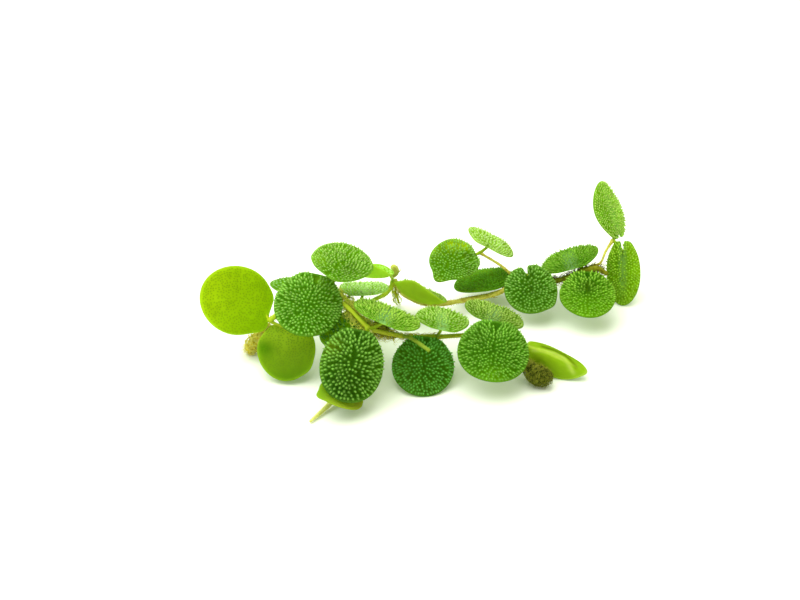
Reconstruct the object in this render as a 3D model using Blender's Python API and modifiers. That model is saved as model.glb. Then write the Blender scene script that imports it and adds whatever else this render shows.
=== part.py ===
"""Salvinia: a small floating fern, lifted out of the water and lying on a surface.

One branching rhizome carries the leaves, most of them in pairs, two cut stubs and the tufts of root-like
underwater leaves. Lengths in the tables are millimetres and angles are degrees. The finished objects are
in metres, +Z up, with the origin under the middle of the plant's box, on the surface.
"""

import math
from dataclasses import dataclass

import bmesh
import bpy
import numpy as np
from mathutils import Matrix, Vector

MM = 0.001
# Middle of the plant in the tables, in millimetres, which becomes the origin.
PLANT_CENTRE = Vector((1.3, 2.3, 0.0))

# A leaf's solid takes in its blade and the water-repelling hairs that stand on its upper side.
LEAF_THICKNESS = 1.2
LEAF_SECTORS = 18
LEAF_RINGS = (0.36, 0.7, 1.0)
# The rings of the blade shrink towards a point between the foot of the notch and the blade's middle.
RING_CENTRE = 0.8
MARGIN_WAVES = 3
# The two lobes beside the notch are drawn back a little, and the blade is widest near its base. Some blades
# stick out at one corner of the margin.
NOTCH_MOUTH = 1.9
LOBE_TRIM = 0.03
LOBE_PLACE = 0.45
LOBE_SPREAD = 0.25
CORNER_SPREAD = 0.28
BASE_BREADTH = 0.05
PETIOLE_RADIUS = 0.36
PETIOLE_REACH = 0.9
# The stalk meets the blade from behind and a little above the underside.
PETIOLE_FOOT = (-0.4, 0.1)
STALK_START = 1.3

RHIZOME_RADIUS = 0.5
ROUTE_STEP = 1.9
STALK_STEP = 2.2
TOUCHING_GAP = 0.3
WELD_DISTANCE = 0.00001
SHARP_ANGLE = 45


@dataclass(frozen=True)
class Leaf:
    """One floating leaf; base is the foot of the notch, where the petiole joins the blade.

    Corner is how far the margin sticks out, as a share of the leaf's reach, at corner_turn degrees round
    from the tip.
    """

    name: str
    node: str
    base: tuple
    heading: float
    pitch: float
    roll: float
    length: float
    width: float
    cup: float = 0.0
    fold: float = 0.0
    bend: float = 0.0
    crease: float = 1.2
    notch: float = 0.2
    slit: float = 0.06
    wave: float = 0.15
    thickness: float = LEAF_THICKNESS
    corner: float = 0.0
    corner_turn: float = 0.0
    stalk_via: tuple = ()
    colour: tuple = (0.09, 0.28, 0.012)


# The joints of the rhizome, where a pair of leaves and a branch start.
NODES = {
    "a": (-28.3, -5.3, 8.5),
    "b": (-18.4, -2.4, 13.2),
    "c": (-16.4, 2.2, 10.6),
    "d": (-11.9, -3.9, 10.5),
    "e": (-9.4, -13.4, 11.5),
    "f": (3.1, -7.9, 6.6),
    "g": (14.4, -8.2, 7.4),
    "h": (19.2, -9.0, 5.0),
    "i": (-5.0, 12.7, 7.0),
    "j": (19.2, 16.2, 5.2),
    "k": (12.0, 17.6, 10.6),
    "l": (32.4, 15.0, 7.9),
    "m": (38.8, 23.1, 10.5),
    "t": (-14.2, -18.4, 2.4),
}


@dataclass(frozen=True)
class Strand:
    """A round piece of the plant that follows a route of named nodes and points, with its radii on the way."""

    name: str
    route: tuple
    radii: tuple
    colour: tuple
    meets_at_start: bool = True


GOLDEN = (0.5, 0.42, 0.06)
BROWN = (0.16, 0.1, 0.02)
OLIVE = (0.12, 0.14, 0.01)
STRAW = (0.72, 0.68, 0.2)
BUD_OLIVE = (0.22, 0.2, 0.02)

STRANDS = (
    Strand("rhizome_left", ("a", (-24.0, -3.4, 11.6), "b", (-14.0, -6.7, 12.7), "e"),
           (0.45, 0.5, 0.5, 0.55, 0.8, 0.85, 0.5), STRAW, meets_at_start=False),
    Strand("rhizome_front", ("e", (-3.2, -10.0, 8.0), "f", (9.0, -7.2, 6.6), "g", (17.4, -8.0, 6.6), "h"),
           (0.5, 0.5, 0.5, 0.45), BROWN),
    Strand("shoot_left_back", ("b", (-17.6, -0.4, 12.2), "c"), (0.4, 0.4), GOLDEN),
    Strand("runner_left", ("b", (-15.0, -1.8, 12.2), "d", (-8.6, 3.0, 8.4), (-6.2, 9.0, 6.6), "i"),
           (0.5, 0.95, 0.5, 0.5, 0.5, 0.5, 0.5, 0.5), GOLDEN),
    Strand("runner_back", ("i", (-2.6, 12.9, 3.6), (2.5, 12.2, 2.0), (10.8, 13.6, 2.5), (16.0, 13.6, 4.0), "j"),
           (0.5, 0.45, 0.5, 0.5), GOLDEN),
    Strand("runner_right", ("j", (26.6, 15.6, 5.3), "l", (34.9, 14.9, 8.6), (37.0, 14.8, 7.4)),
           (0.5, 0.5, 0.55, 0.65, 0.72, 0.5), BROWN),
    Strand("shoot_right", ((34.0, 16.5, 8.3), (35.9, 17.9, 8.1), (37.3, 21.6, 8.8), "m"),
           (0.3, 0.28, 0.35), GOLDEN, meets_at_start=False),
    Strand("shoot_right_back", ("j", (16.4, 16.5, 8.1), "k"), (0.3, 0.25), GOLDEN),
    Strand("old_rhizome", ("e", (-9.8, -15.0, 8.2), (-12.0, -17.0, 4.6), "t", (-16.5, -22.0, 1.0),
                           (-18.6, -25.2, 0.6), (-20.0, -27.4, 0.5)), (0.45, 0.45, 0.4, 0.2), STRAW),
    Strand("stub_front", ((-3.1, -11.0, 8.6), (-1.6, -12.4, 8.9), (1.6, -15.0, 7.9)), (0.38, 0.36), STRAW,
           meets_at_start=False),
    Strand("stub_back", ("g", (14.6, -3.6, 7.6), (16.2, 0.4, 6.6)), (0.35, 0.25), GOLDEN),
    Strand("bud_back", ((-5.4, 14.2, 7.2), (-4.9, 13.9, 8.0), (-4.7, 13.6, 9.0), (-5.3, 13.4, 9.9)),
           (0.45, 0.75, 0.7, 0.5), BUD_OLIVE, meets_at_start=False),
)

ROOTS = (
    Strand("roots_left", ((-28.8, -4.6, 7.4), (-29.5, -4.1, 5.2), (-31.8, -3.4, 2.4), (-33.0, -3.2, -0.6)),
           (0.5, 0.9, 1.8, 1.5), OLIVE, meets_at_start=False),
    Strand("roots_centre", ((-8.9, -11.9, 10.6), (-7.3, -9.4, 9.8), (-6.2, -8.6, 7.8)), (0.4, 1.5, 1.2), BROWN,
           meets_at_start=False),
    Strand("roots_back", ((-5.1, 13.4, 6.2), (-4.6, 14.4, 3.4), (-4.0, 15.0, -0.6)), (0.4, 0.9, 1.0), STRAW,
           meets_at_start=False),
    Strand("roots_right", ((19.0, -10.0, 4.2), (19.6, -12.2, 3.4), (21.6, -14.4, 2.2), (24.5, -15.9, 2.3)),
           (0.5, 1.2, 2.0, 1.9), OLIVE, meets_at_start=False),
)

MID_GREEN = (0.09, 0.28, 0.012)
DARK_GREEN = (0.03, 0.16, 0.008)
PALE_GREEN = (0.25, 0.52, 0.05)
UNDER_GREEN = (0.32, 0.55, 0.008)

LEAVES = (
    Leaf("leaf_left_end", "a", (-30.0, -4.4, 10.5), 174, 21, 120, 13.6, 13.0, cup=-15, notch=0.13,
         corner=0.1, corner_turn=-155, colour=UNDER_GREEN),
    Leaf("leaf_left_low", "a", (-25.5, -6.1, 7.0), -82, -34, -172, 12.0, 11.0, cup=-15, notch=0.13,
         corner=0.06, corner_turn=-45, colour=UNDER_GREEN),
    Leaf("leaf_left_front", "b", (-20.1, -6.2, 15.8), -106, -33, -13, 13.0, 13.0, cup=-25, notch=0.25),
    Leaf("leaf_left_top", "b", (-16.3, -5.6, 19.5), 55, 0, 15, 11.5, 11.5, cup=10, thickness=0.9,
         stalk_via=((-15.4, -2.2, 16.4),)),
    Leaf("leaf_left_back", "c", (-20.1, 3.1, 10.1), 170, 6, -1, 11.0, 7.4, thickness=0.9),
    Leaf("leaf_inner_back", "d", (-10.8, -1.1, 11.9), 87, -15, 0, 11.0, 9.5, cup=10, colour=PALE_GREEN),
    Leaf("leaf_inner_low", "d", (-12.1, -8.0, 9.8), -132, -15, -10, 10.0, 9.5, cup=-10, colour=DARK_GREEN),
    Leaf("leaf_centre_back", "e", (-6.8, -14.5, 13.8), 81, -14, 17, 12.0, 13.0, cup=5, colour=PALE_GREEN),
    Leaf("leaf_centre_front", "e", (-11.8, -18.3, 11.0), -103, -39, -16, 14.2, 12.0, cup=-30, notch=0.22,
         colour=DARK_GREEN),
    Leaf("leaf_middle_back", "f", (4.0, -10.2, 10.2), 89, -7, 8, 10.5, 10.2, colour=PALE_GREEN),
    Leaf("leaf_middle_front", "f", (0.9, -11.9, 6.4), -100, -42, -8, 11.5, 11.8, cup=-25, colour=DARK_GREEN),
    Leaf("leaf_right_back", "g", (13.4, -6.2, 9.2), 79, -12, 16, 11.0, 11.8, colour=MID_GREEN),
    Leaf("leaf_right_front", "g", (13.7, -12.6, 9.1), -97, -31, -6, 12.8, 13.4, cup=-20, notch=0.28),
    Leaf("leaf_folded_front", "h", (22.0, -10.1, 5.2), -18, -18, -150, 12.1, 8.2, fold=60, bend=20,
         crease=1.4, thickness=0.8, corner=0.08, colour=UNDER_GREEN),
    Leaf("leaf_folded_back", "i", (-3.8, 10.8, 5.9), -34, 0, -37, 12.0, 11.0, fold=58, bend=60, crease=2.2,
         notch=0.1, thickness=0.8, colour=UNDER_GREEN),
    Leaf("leaf_small_back", "i", (-6.3, 9.1, 9.8), 157, -7, 30, 9.5, 10.4, fold=58, bend=30, crease=2.3,
         notch=0.1, thickness=0.8, colour=UNDER_GREEN),
    Leaf("leaf_back_left", "k", (10.2, 15.2, 11.3), -148, -1, -36, 10.6, 9.0, cup=20, notch=0.1,
         corner=0.34, corner_turn=34),
    Leaf("leaf_back_right", "k", (13.6, 18.4, 11.7), 74, -9, 25, 7.6, 10.4, thickness=0.9, colour=PALE_GREEN),
    Leaf("leaf_shaded", "j", (15.8, 19.4, 4.5), -146, -3, 6, 12.5, 10.0, colour=DARK_GREEN),
    Leaf("leaf_right_middle", "j", (21.2, 13.6, 7.6), -76, -30, 8, 10.8, 10.5, cup=-15,
         corner=0.07, corner_turn=40),
    Leaf("leaf_far_back", "l", (30.1, 16.0, 8.5), 92, -8, -20, 11.5, 12.0,
         stalk_via=((31.6, 16.0, 8.9),)),
    Leaf("leaf_far_front", "l", (32.9, 11.5, 7.6), -93, -23, -1, 11.2, 11.0, cup=-15),
    Leaf("leaf_far_low", "m", (40.6, 20.6, 8.7), -89, -57, 22, 12.9, 7.0, cup=-15),
    Leaf("leaf_top", "m", (39.7, 25.4, 11.4), 126, 56, 22, 12.0, 10.0, cup=-15, notch=0.13, colour=PALE_GREEN),
    Leaf("leaf_under_tail", "t", (-13.4, -20.9, 3.6), -112, 6, 160, 8.8, 8.6, cup=10, thickness=0.8,
         corner=0.2, corner_turn=40, colour=UNDER_GREEN),
)


def bend_table(angle_of, reach, samples=80):
    """Arc length, run and rise along a curve whose slope angle is angle_of(arc length)."""
    arc = np.linspace(0.0, reach, samples)
    middle = 0.5 * (arc[1:] + arc[:-1])
    step = arc[1] - arc[0]
    run = np.concatenate([[0.0], np.cumsum(np.cos(angle_of(middle)))]) * step
    rise = np.concatenate([[0.0], np.cumsum(np.sin(angle_of(middle)))]) * step
    return arc, run, rise


class BentBlade:
    """Carries points of the flat blade, in millimetres, to their places on the bent and posed leaf."""

    def __init__(self, leaf):
        self.leaf = leaf
        fold = math.radians(leaf.fold)
        cup = math.radians(leaf.cup)
        self.bend = math.radians(leaf.bend)
        self.side_angle = lambda s: fold * (1 - np.exp(-s / leaf.crease)) + cup * s / (0.5 * leaf.width)
        self.side = bend_table(self.side_angle, 0.8 * leaf.width)
        back = -0.5 * leaf.length
        arc, run, rise = bend_table(lambda s: self.mid_angle(s + back), 2.0 * leaf.length)
        at_base = -back
        self.midrib = (arc + back, run - np.interp(at_base, arc, run), rise - np.interp(at_base, arc, rise))
        heading, pitch, roll = (math.radians(value) for value in (leaf.heading, leaf.pitch, leaf.roll))
        self.pose = Matrix.Rotation(heading, 3, "Z") @ Matrix.Rotation(-pitch, 3, "Y")
        self.pose = self.pose @ Matrix.Rotation(roll, 3, "X")
        self.base = Vector(leaf.base)

    def mid_angle(self, along):
        """Slope of the midrib; it is level at the middle of the blade."""
        middle = (0.5 - self.leaf.notch) * self.leaf.length
        return self.bend * (along - middle) / self.leaf.length

    def point(self, along, across, lift=0.0):
        """World place of a blade point, lifted off the underside towards the hairy side."""
        leaf = self.leaf
        reach = abs(across)
        slope = float(self.side_angle(reach))
        outward = np.interp(reach, self.side[0], self.side[1]) - math.sin(slope) * lift
        height = np.interp(reach, self.side[0], self.side[2]) + math.cos(slope) * lift
        radius = math.hypot(2 * (along / leaf.length - 0.5 + leaf.notch), 2 * across / leaf.width)
        turn = math.atan2(across, along - (0.5 - leaf.notch) * leaf.length)
        height += leaf.wave * radius**3 * math.sin(MARGIN_WAVES * turn + leaf.length * leaf.width)
        angle = self.mid_angle(along)
        forward = np.interp(along, self.midrib[0], self.midrib[1]) - math.sin(angle) * height
        upward = np.interp(along, self.midrib[0], self.midrib[2]) + math.cos(angle) * height
        local = Vector((forward, math.copysign(outward, across), upward))
        return self.base + self.pose @ local


def margin(leaf, turn):
    """Flat margin point at this angle round the blade: 0 at the tip, 180 degrees in the notch."""
    from_notch = math.pi - abs(turn)
    along = 0.5 * leaf.length * (1 + math.cos(turn)) - leaf.notch * leaf.length
    along += leaf.notch * leaf.length * math.exp(-((from_notch / leaf.slit) ** 2))
    along -= LOBE_TRIM * leaf.length * math.exp(-(((from_notch - LOBE_PLACE) / LOBE_SPREAD) ** 2))
    across = 0.5 * leaf.width * math.sin(turn) * (1 - BASE_BREADTH * math.cos(turn))
    aside = (turn - math.radians(leaf.corner_turn) + math.pi) % (2 * math.pi) - math.pi
    reach = 1 + leaf.corner * math.exp(-((aside / CORNER_SPREAD) ** 2))
    middle = (0.5 - leaf.notch) * leaf.length
    return middle + (along - middle) * reach, across * reach


def sector_turns(leaf):
    """Angles round the blade; the last one is the foot of the notch."""
    mouth = NOTCH_MOUTH * leaf.slit
    sweep = np.linspace(-math.pi + mouth, math.pi - mouth, LEAF_SECTORS)
    return [*sweep, math.pi]


def plain_material(name, colour, roughness=0.5):
    """Principled material with one colour."""
    material = bpy.data.materials.new(name)
    material.use_nodes = True
    material.diffuse_color = (*colour, 1.0)
    shader = material.node_tree.nodes["Principled BSDF"]
    shader.inputs["Base Color"].default_value = (*colour, 1.0)
    shader.inputs["Roughness"].default_value = roughness
    shader.inputs["Metallic"].default_value = 0.0
    return material


def placed(point):
    """The point in metres, with the middle of the plant at the origin."""
    return (Vector(point) - PLANT_CENTRE) * MM


def new_collection(name):
    """Collection linked to the scene."""
    collection = bpy.data.collections.new(name)
    bpy.context.scene.collection.children.link(collection)
    return collection


def mesh_object(name, bm, collection, material):
    """Object made from a bmesh, smooth shaded except at sharp edges."""
    mesh = bpy.data.meshes.new(name)
    bm.to_mesh(mesh)
    bm.free()
    mesh.shade_smooth()
    mesh.set_sharp_from_angle(angle=math.radians(SHARP_ANGLE))
    mesh.materials.append(material)
    obj = bpy.data.objects.new(name, mesh)
    collection.objects.link(obj)
    return obj


def smooth_route(points, step=ROUTE_STEP):
    """Points about one step apart on a smooth curve through the route's own points."""
    route = [Vector(point) for point in points]
    route = [2 * route[0] - route[1], *route, 2 * route[-1] - route[-2]]
    result = []
    for before, start, end, after in zip(route, route[1:], route[2:], route[3:]):
        count = max(1, round((end - start).length / step))
        for index in range(count):
            t = index / count
            curve = 2 * start + (end - before) * t + (2 * before - 5 * start + 4 * end - after) * t**2
            result.append(0.5 * (curve + (3 * start - before - 3 * end + after) * t**3))
    result.append(route[-2])
    return result


def tube_object(name, points, radii, collection, material, bevel_level=2):
    """Round tube along the points, as a closed mesh; its radius runs smoothly between the given radii."""
    curve = bpy.data.curves.new(name, "CURVE")
    curve.dimensions = "3D"
    curve.bevel_depth = MM
    curve.bevel_resolution = bevel_level
    curve.use_fill_caps = True
    spline = curve.splines.new("POLY")
    spline.points.add(len(points) - 1)
    places = np.linspace(0.0, 1.0, len(points))
    widths = np.interp(places, np.linspace(0.0, 1.0, len(radii)), radii)
    for control, point, width in zip(spline.points, points, widths):
        control.co = (*placed(point), 1.0)
        control.radius = width
    guide = bpy.data.objects.new(name, curve)
    bpy.context.scene.collection.objects.link(guide)
    graph = bpy.context.evaluated_depsgraph_get()
    mesh = bpy.data.meshes.new_from_object(guide.evaluated_get(graph))
    bm = bmesh.new()
    bm.from_mesh(mesh)
    bmesh.ops.remove_doubles(bm, verts=bm.verts, dist=WELD_DISTANCE)
    bmesh.ops.recalc_face_normals(bm, faces=bm.faces)
    bpy.data.objects.remove(guide)
    bpy.data.meshes.remove(mesh)
    return mesh_object(name, bm, collection, material)


def blade_object(leaf, blade, collection, material):
    """The leaf's blade: an open bent sheet of rings round its middle, thickened towards the hairy side."""
    bm = bmesh.new()
    start = RING_CENTRE * (0.5 - leaf.notch) * leaf.length
    centre = bm.verts.new(placed(blade.point(start, 0.0)))
    rings = []
    for fraction in LEAF_RINGS:
        ring = []
        for turn in sector_turns(leaf):
            along, across = margin(leaf, turn)
            point = blade.point(start + (along - start) * fraction, across * fraction)
            ring.append(bm.verts.new(placed(point)))
        rings.append(ring)
    count = len(rings[0])
    for index in range(count):
        following = (index + 1) % count
        bm.faces.new((centre, rings[0][index], rings[0][following]))
        for inner, outer in zip(rings, rings[1:]):
            bm.faces.new((inner[index], outer[index], outer[following], inner[following]))
    obj = mesh_object(leaf.name, bm, collection, material)
    solidify = obj.modifiers.new("blade and hairs", "SOLIDIFY")
    solidify.thickness = leaf.thickness * MM
    solidify.offset = 1.0
    return obj


def petiole_points(leaf, blade):
    """Route of the leaf stalk from beside its node into the blade."""
    end = blade.point(PETIOLE_REACH, 0.0, 0.4 * leaf.thickness)
    behind, above = PETIOLE_FOOT
    foot = blade.point(behind, 0.0, above)
    node = Vector(NODES[leaf.node])
    first_stop = Vector(leaf.stalk_via[0]) if leaf.stalk_via else foot
    away = (first_stop - node).normalized()
    start = node + away * (RHIZOME_RADIUS * STALK_START + TOUCHING_GAP)
    return smooth_route((start, *leaf.stalk_via, foot, end), STALK_STEP)


def add_petiole(obj, leaf, blade, cutters, material):
    """Joins the stalk to the blade in one solid."""
    stalk = tube_object(leaf.name + "_stalk", petiole_points(leaf, blade), (PETIOLE_RADIUS,), cutters, material, 1)
    stalk.hide_render = True
    stalk.display_type = "WIRE"
    union = obj.modifiers.new("stalk", "BOOLEAN")
    union.operation = "UNION"
    union.solver = "EXACT"
    union.object = stalk


def build_leaf(leaf, plant, cutters):
    """One leaf with its stalk."""
    material = plain_material(leaf.name, leaf.colour, 0.55)
    blade = BentBlade(leaf)
    obj = blade_object(leaf, blade, plant, material)
    add_petiole(obj, leaf, blade, cutters, material)


def place_of(stop):
    """Point of a named node, or the point itself."""
    return Vector(NODES.get(stop, stop) if isinstance(stop, str) else stop)


def strand_points(strand):
    """Smooth route of the strand; a start at a joint stops beside the strand that it meets."""
    route = [place_of(stop) for stop in strand.route]
    clearance = 2 * RHIZOME_RADIUS + TOUCHING_GAP
    if strand.meets_at_start:
        route[0] = route[0] + (route[1] - route[0]).normalized() * clearance
    return smooth_route(route)


def build_roots(strand, collection):
    """A tuft of underwater leaves as one tapering body, flat where it rests on the surface."""
    material = plain_material(strand.name, strand.colour, 0.9)
    obj = tube_object(strand.name, strand_points(strand), strand.radii, collection, material)
    bm = bmesh.new()
    bm.from_mesh(obj.data)
    everything = [*bm.verts, *bm.edges, *bm.faces]
    cut = bmesh.ops.bisect_plane(bm, geom=everything, plane_co=(0, 0, 0), plane_no=(0, 0, -1), clear_outer=True)
    edges = [item for item in cut["geom_cut"] if isinstance(item, bmesh.types.BMEdge)]
    if edges:
        bmesh.ops.contextual_create(bm, geom=edges)
    bmesh.ops.recalc_face_normals(bm, faces=bm.faces)
    bm.to_mesh(obj.data)
    bm.free()


def main():
    """Builds the whole plant."""
    for obj in list(bpy.data.objects):
        bpy.data.objects.remove(obj)
    plant = new_collection("salvinia")
    cutters = new_collection("cutters")
    for leaf in LEAVES:
        build_leaf(leaf, plant, cutters)
    for strand in STRANDS:
        material = plain_material(strand.name, strand.colour, 0.6)
        tube_object(strand.name, strand_points(strand), strand.radii, plant, material)
    for strand in ROOTS:
        build_roots(strand, plant)


main()
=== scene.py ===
import logging
import math
from collections.abc import Callable
from dataclasses import dataclass, field
from enum import Enum

import bpy
import numpy as np
from mathutils import Matrix, Vector


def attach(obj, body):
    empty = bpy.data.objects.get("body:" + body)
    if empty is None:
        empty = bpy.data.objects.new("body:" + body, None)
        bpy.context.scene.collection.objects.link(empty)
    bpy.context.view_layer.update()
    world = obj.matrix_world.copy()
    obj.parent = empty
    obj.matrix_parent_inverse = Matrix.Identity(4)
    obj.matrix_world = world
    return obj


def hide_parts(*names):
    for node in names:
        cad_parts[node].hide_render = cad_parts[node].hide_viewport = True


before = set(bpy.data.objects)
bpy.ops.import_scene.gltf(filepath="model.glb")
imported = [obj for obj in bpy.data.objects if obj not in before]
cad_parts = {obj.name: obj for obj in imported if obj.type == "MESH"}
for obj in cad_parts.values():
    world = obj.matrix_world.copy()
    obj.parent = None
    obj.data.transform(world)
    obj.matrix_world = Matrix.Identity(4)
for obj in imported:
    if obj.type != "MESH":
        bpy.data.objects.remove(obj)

# Salvinia, a small floating fern lifted out of the water: its looks. The leaves, stems and tufts repeat the
# solids' own lengths in millimetres and angles in degrees, and are placed in metres in the plant's frame.

MM = 0.001
PLANT_CENTRE = np.array((1.3, 2.3, 0.0))
PLANT_BODY = "root"
LEAF_SEED, STEM_SEED, TUFT_SEED = 11, 111, 211
LOG = logging.getLogger("salvinia")

Colour = tuple[float, float, float]
Point = tuple[float, float, float]
Socket = bpy.types.NodeSocket
Material = bpy.types.Material


def seen(red: int, green: int, blue: int) -> Colour:
    """Linear colour of one that is given as it is seen, from 0 to 255, by the usual curve of screens."""
    return tuple(((value / 255 + 0.055) / 1.055) ** 2.4 if value > 10 else value / 3294.6
                 for value in (red, green, blue))


def mixed(first: Colour, second: Colour, share: float) -> Colour:
    """Colour between two others."""
    return tuple((1 - share) * one + share * other for one, other in zip(first, second))


class LeafSurface(Enum):
    """Material slots of a leaf's blade, in order."""

    UPPER = 0
    UNDER = 1
    STALK = 2


class TubeSurface(Enum):
    """Material slots of a stem or tuft, in order."""

    SKIN = 0
    HAIR = 1


class StemTone(Enum):
    """Skin, dark and bristle colours of a stem."""

    STRAW = (seen(178, 212, 52), seen(180, 186, 36), seen(236, 240, 108))
    LIME = (seen(184, 214, 46), seen(190, 196, 46), seen(236, 240, 120))
    GREEN = (seen(156, 184, 60), seen(116, 142, 26), seen(176, 196, 80))
    GOLDEN = (seen(218, 218, 96), seen(164, 138, 34), seen(180, 140, 40))
    OLIVE = (seen(198, 210, 60), seen(170, 166, 40), seen(222, 216, 84))
    BROWN = (seen(136, 144, 22), seen(86, 82, 10), seen(180, 174, 60))
    BUD = (seen(208, 216, 100), seen(150, 144, 36), seen(206, 200, 80))
    PALE = (seen(228, 232, 136), seen(196, 198, 84), seen(226, 228, 124))


def line_of(start: tuple[float, float], end: tuple[float, float], count: int, size: float,
            strength: float) -> tuple[tuple[float, float, float, float], ...]:
    """A leaf's patches in a row, which together form a line from start to end.

    Args:
        start: Place along and across of the first patch.
        end: Place of the last.
        count: Number of patches.
        size: Size of each.
        strength: Strength of each.

    Returns:
        The patches.
    """
    steps = [step / (count - 1) for step in range(count)]
    return tuple((*((1 - step) * one + step * other for one, other in zip(start, end)), size, strength)
                 for step in steps)


@dataclass(frozen=True)
class Leaf:
    """One leaf. Its shape repeats the solid's; base is the foot of the notch, where the stalk joins.

    Cup and fold raise the two halves, evenly or close to the midrib, and bend curves the midrib. Corner is
    a bulge of the margin. Gap is how open the notch is. Ground, hair and under are the colours of the upper
    skin, of its hairs and of the underside. Tone is a second colour on the side of tone_turn degrees round
    from the tip. Patches give places along and across, a size and a strength, above zero for that colour and
    below zero for painted shade; on the folded front leaf those above zero also paint a highlight along its
    lit ridge. Rib is the depth of the midrib's groove, vein highlight the strength of a painted highlight
    along it below, where the ridge of a folded leaf catches the light, dots that of the dark dots below, and
    band that of the waxy band above. Glow is how yellow the light is that comes through. Lean is how far
    hairs lean outward; hairs that don't lean also stand further inside the margin. Fine leaves have a finer
    mesh.
    """

    name: str
    node: str
    base: Point
    heading: float
    pitch: float
    roll: float
    length: float
    width: float
    cup: float = 0.0
    fold: float = 0.0
    bend: float = 0.0
    crease: float = 1.2
    notch: float = 0.2
    slit: float = 0.06
    gap: float = 0.0
    wave: float = 0.15
    corner: float = 0.0
    corner_turn: float = 0.0
    stalk_via: tuple[Point, ...] = ()
    ground: Colour = seen(70, 145, 15)
    hair: Colour = seen(160, 210, 115)
    under: Colour = seen(140, 190, 20)
    tone: Colour | None = None
    tone_turn: float = 0.0
    tone_share: float = 0.45
    glow: float = 0.5
    spacing: float = 0.7
    hair_height: float = 0.88
    lean: float = 1.0
    rib: float = 0.1
    # Strength of the painted highlight along the midrib below, where a folded leaf's ridge catches the light.
    vein_highlight: float = 0.0
    dots: float = 0.0
    band: float = 0.0
    fine: bool = False
    patches: tuple[tuple[float, float, float, float], ...] = ()

    @property
    def from_below(self) -> bool:
        """Whether the photograph shows the underside, where the second colour then is."""
        return self.dots > 0 or self.vein_highlight > 0 or not self.lean


@dataclass(frozen=True)
class Stem:
    """One stretch of the stem: its route through named joints and points, its radii on the way, and its skin.

    Bristles are counted for each millimetre. Fringe gives where on the route long soft hairs lie along the
    stem, as a start and an end from 0 to 1, their number, their length and how far out they reach.
    """

    name: str
    route: tuple[str | Point, ...]
    radii: tuple[float, ...]
    tone: StemTone
    bristles: float = 5.0
    bristle_length: float = 0.8
    fringe: tuple[tuple[float, float, int, float, float], ...] = ()


@dataclass(frozen=True)
class Tuft:
    """One tuft of root-like leaves: its route, the radii of its outline on the way, and its filaments.

    Heart is how much of the outline its middle mass fills. Darkening is how much darker its far end is.
    """

    name: str
    route: tuple[Point, ...]
    radii: tuple[float, ...]
    light: Colour
    dark: Colour
    filaments: int = 14
    thickness: float = 0.16
    curl: float = 0.5
    hair_length: float = 0.9
    heart: float = 0.7
    darkening: float = 0.0


# Points where stretches of stem and leaf stalks meet, in millimetres.
JOINTS: dict[str, Point] = {
    "a": (-28.3, -5.3, 8.5),
    "b": (-18.4, -2.4, 13.2),
    "c": (-16.4, 2.2, 10.6),
    "d": (-11.9, -3.9, 10.5),
    "e": (-9.4, -13.4, 11.5),
    "f": (3.1, -7.9, 6.6),
    "g": (14.4, -8.2, 7.4),
    "h": (19.2, -9.0, 5.0),
    "i": (-5.0, 12.7, 7.0),
    "j": (19.2, 16.2, 5.2),
    "k": (12.0, 17.6, 10.6),
    "l": (32.4, 15.0, 7.9),
    "m": (38.8, 23.1, 10.5),
    "t": (-14.2, -18.4, 2.4),
}
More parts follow.
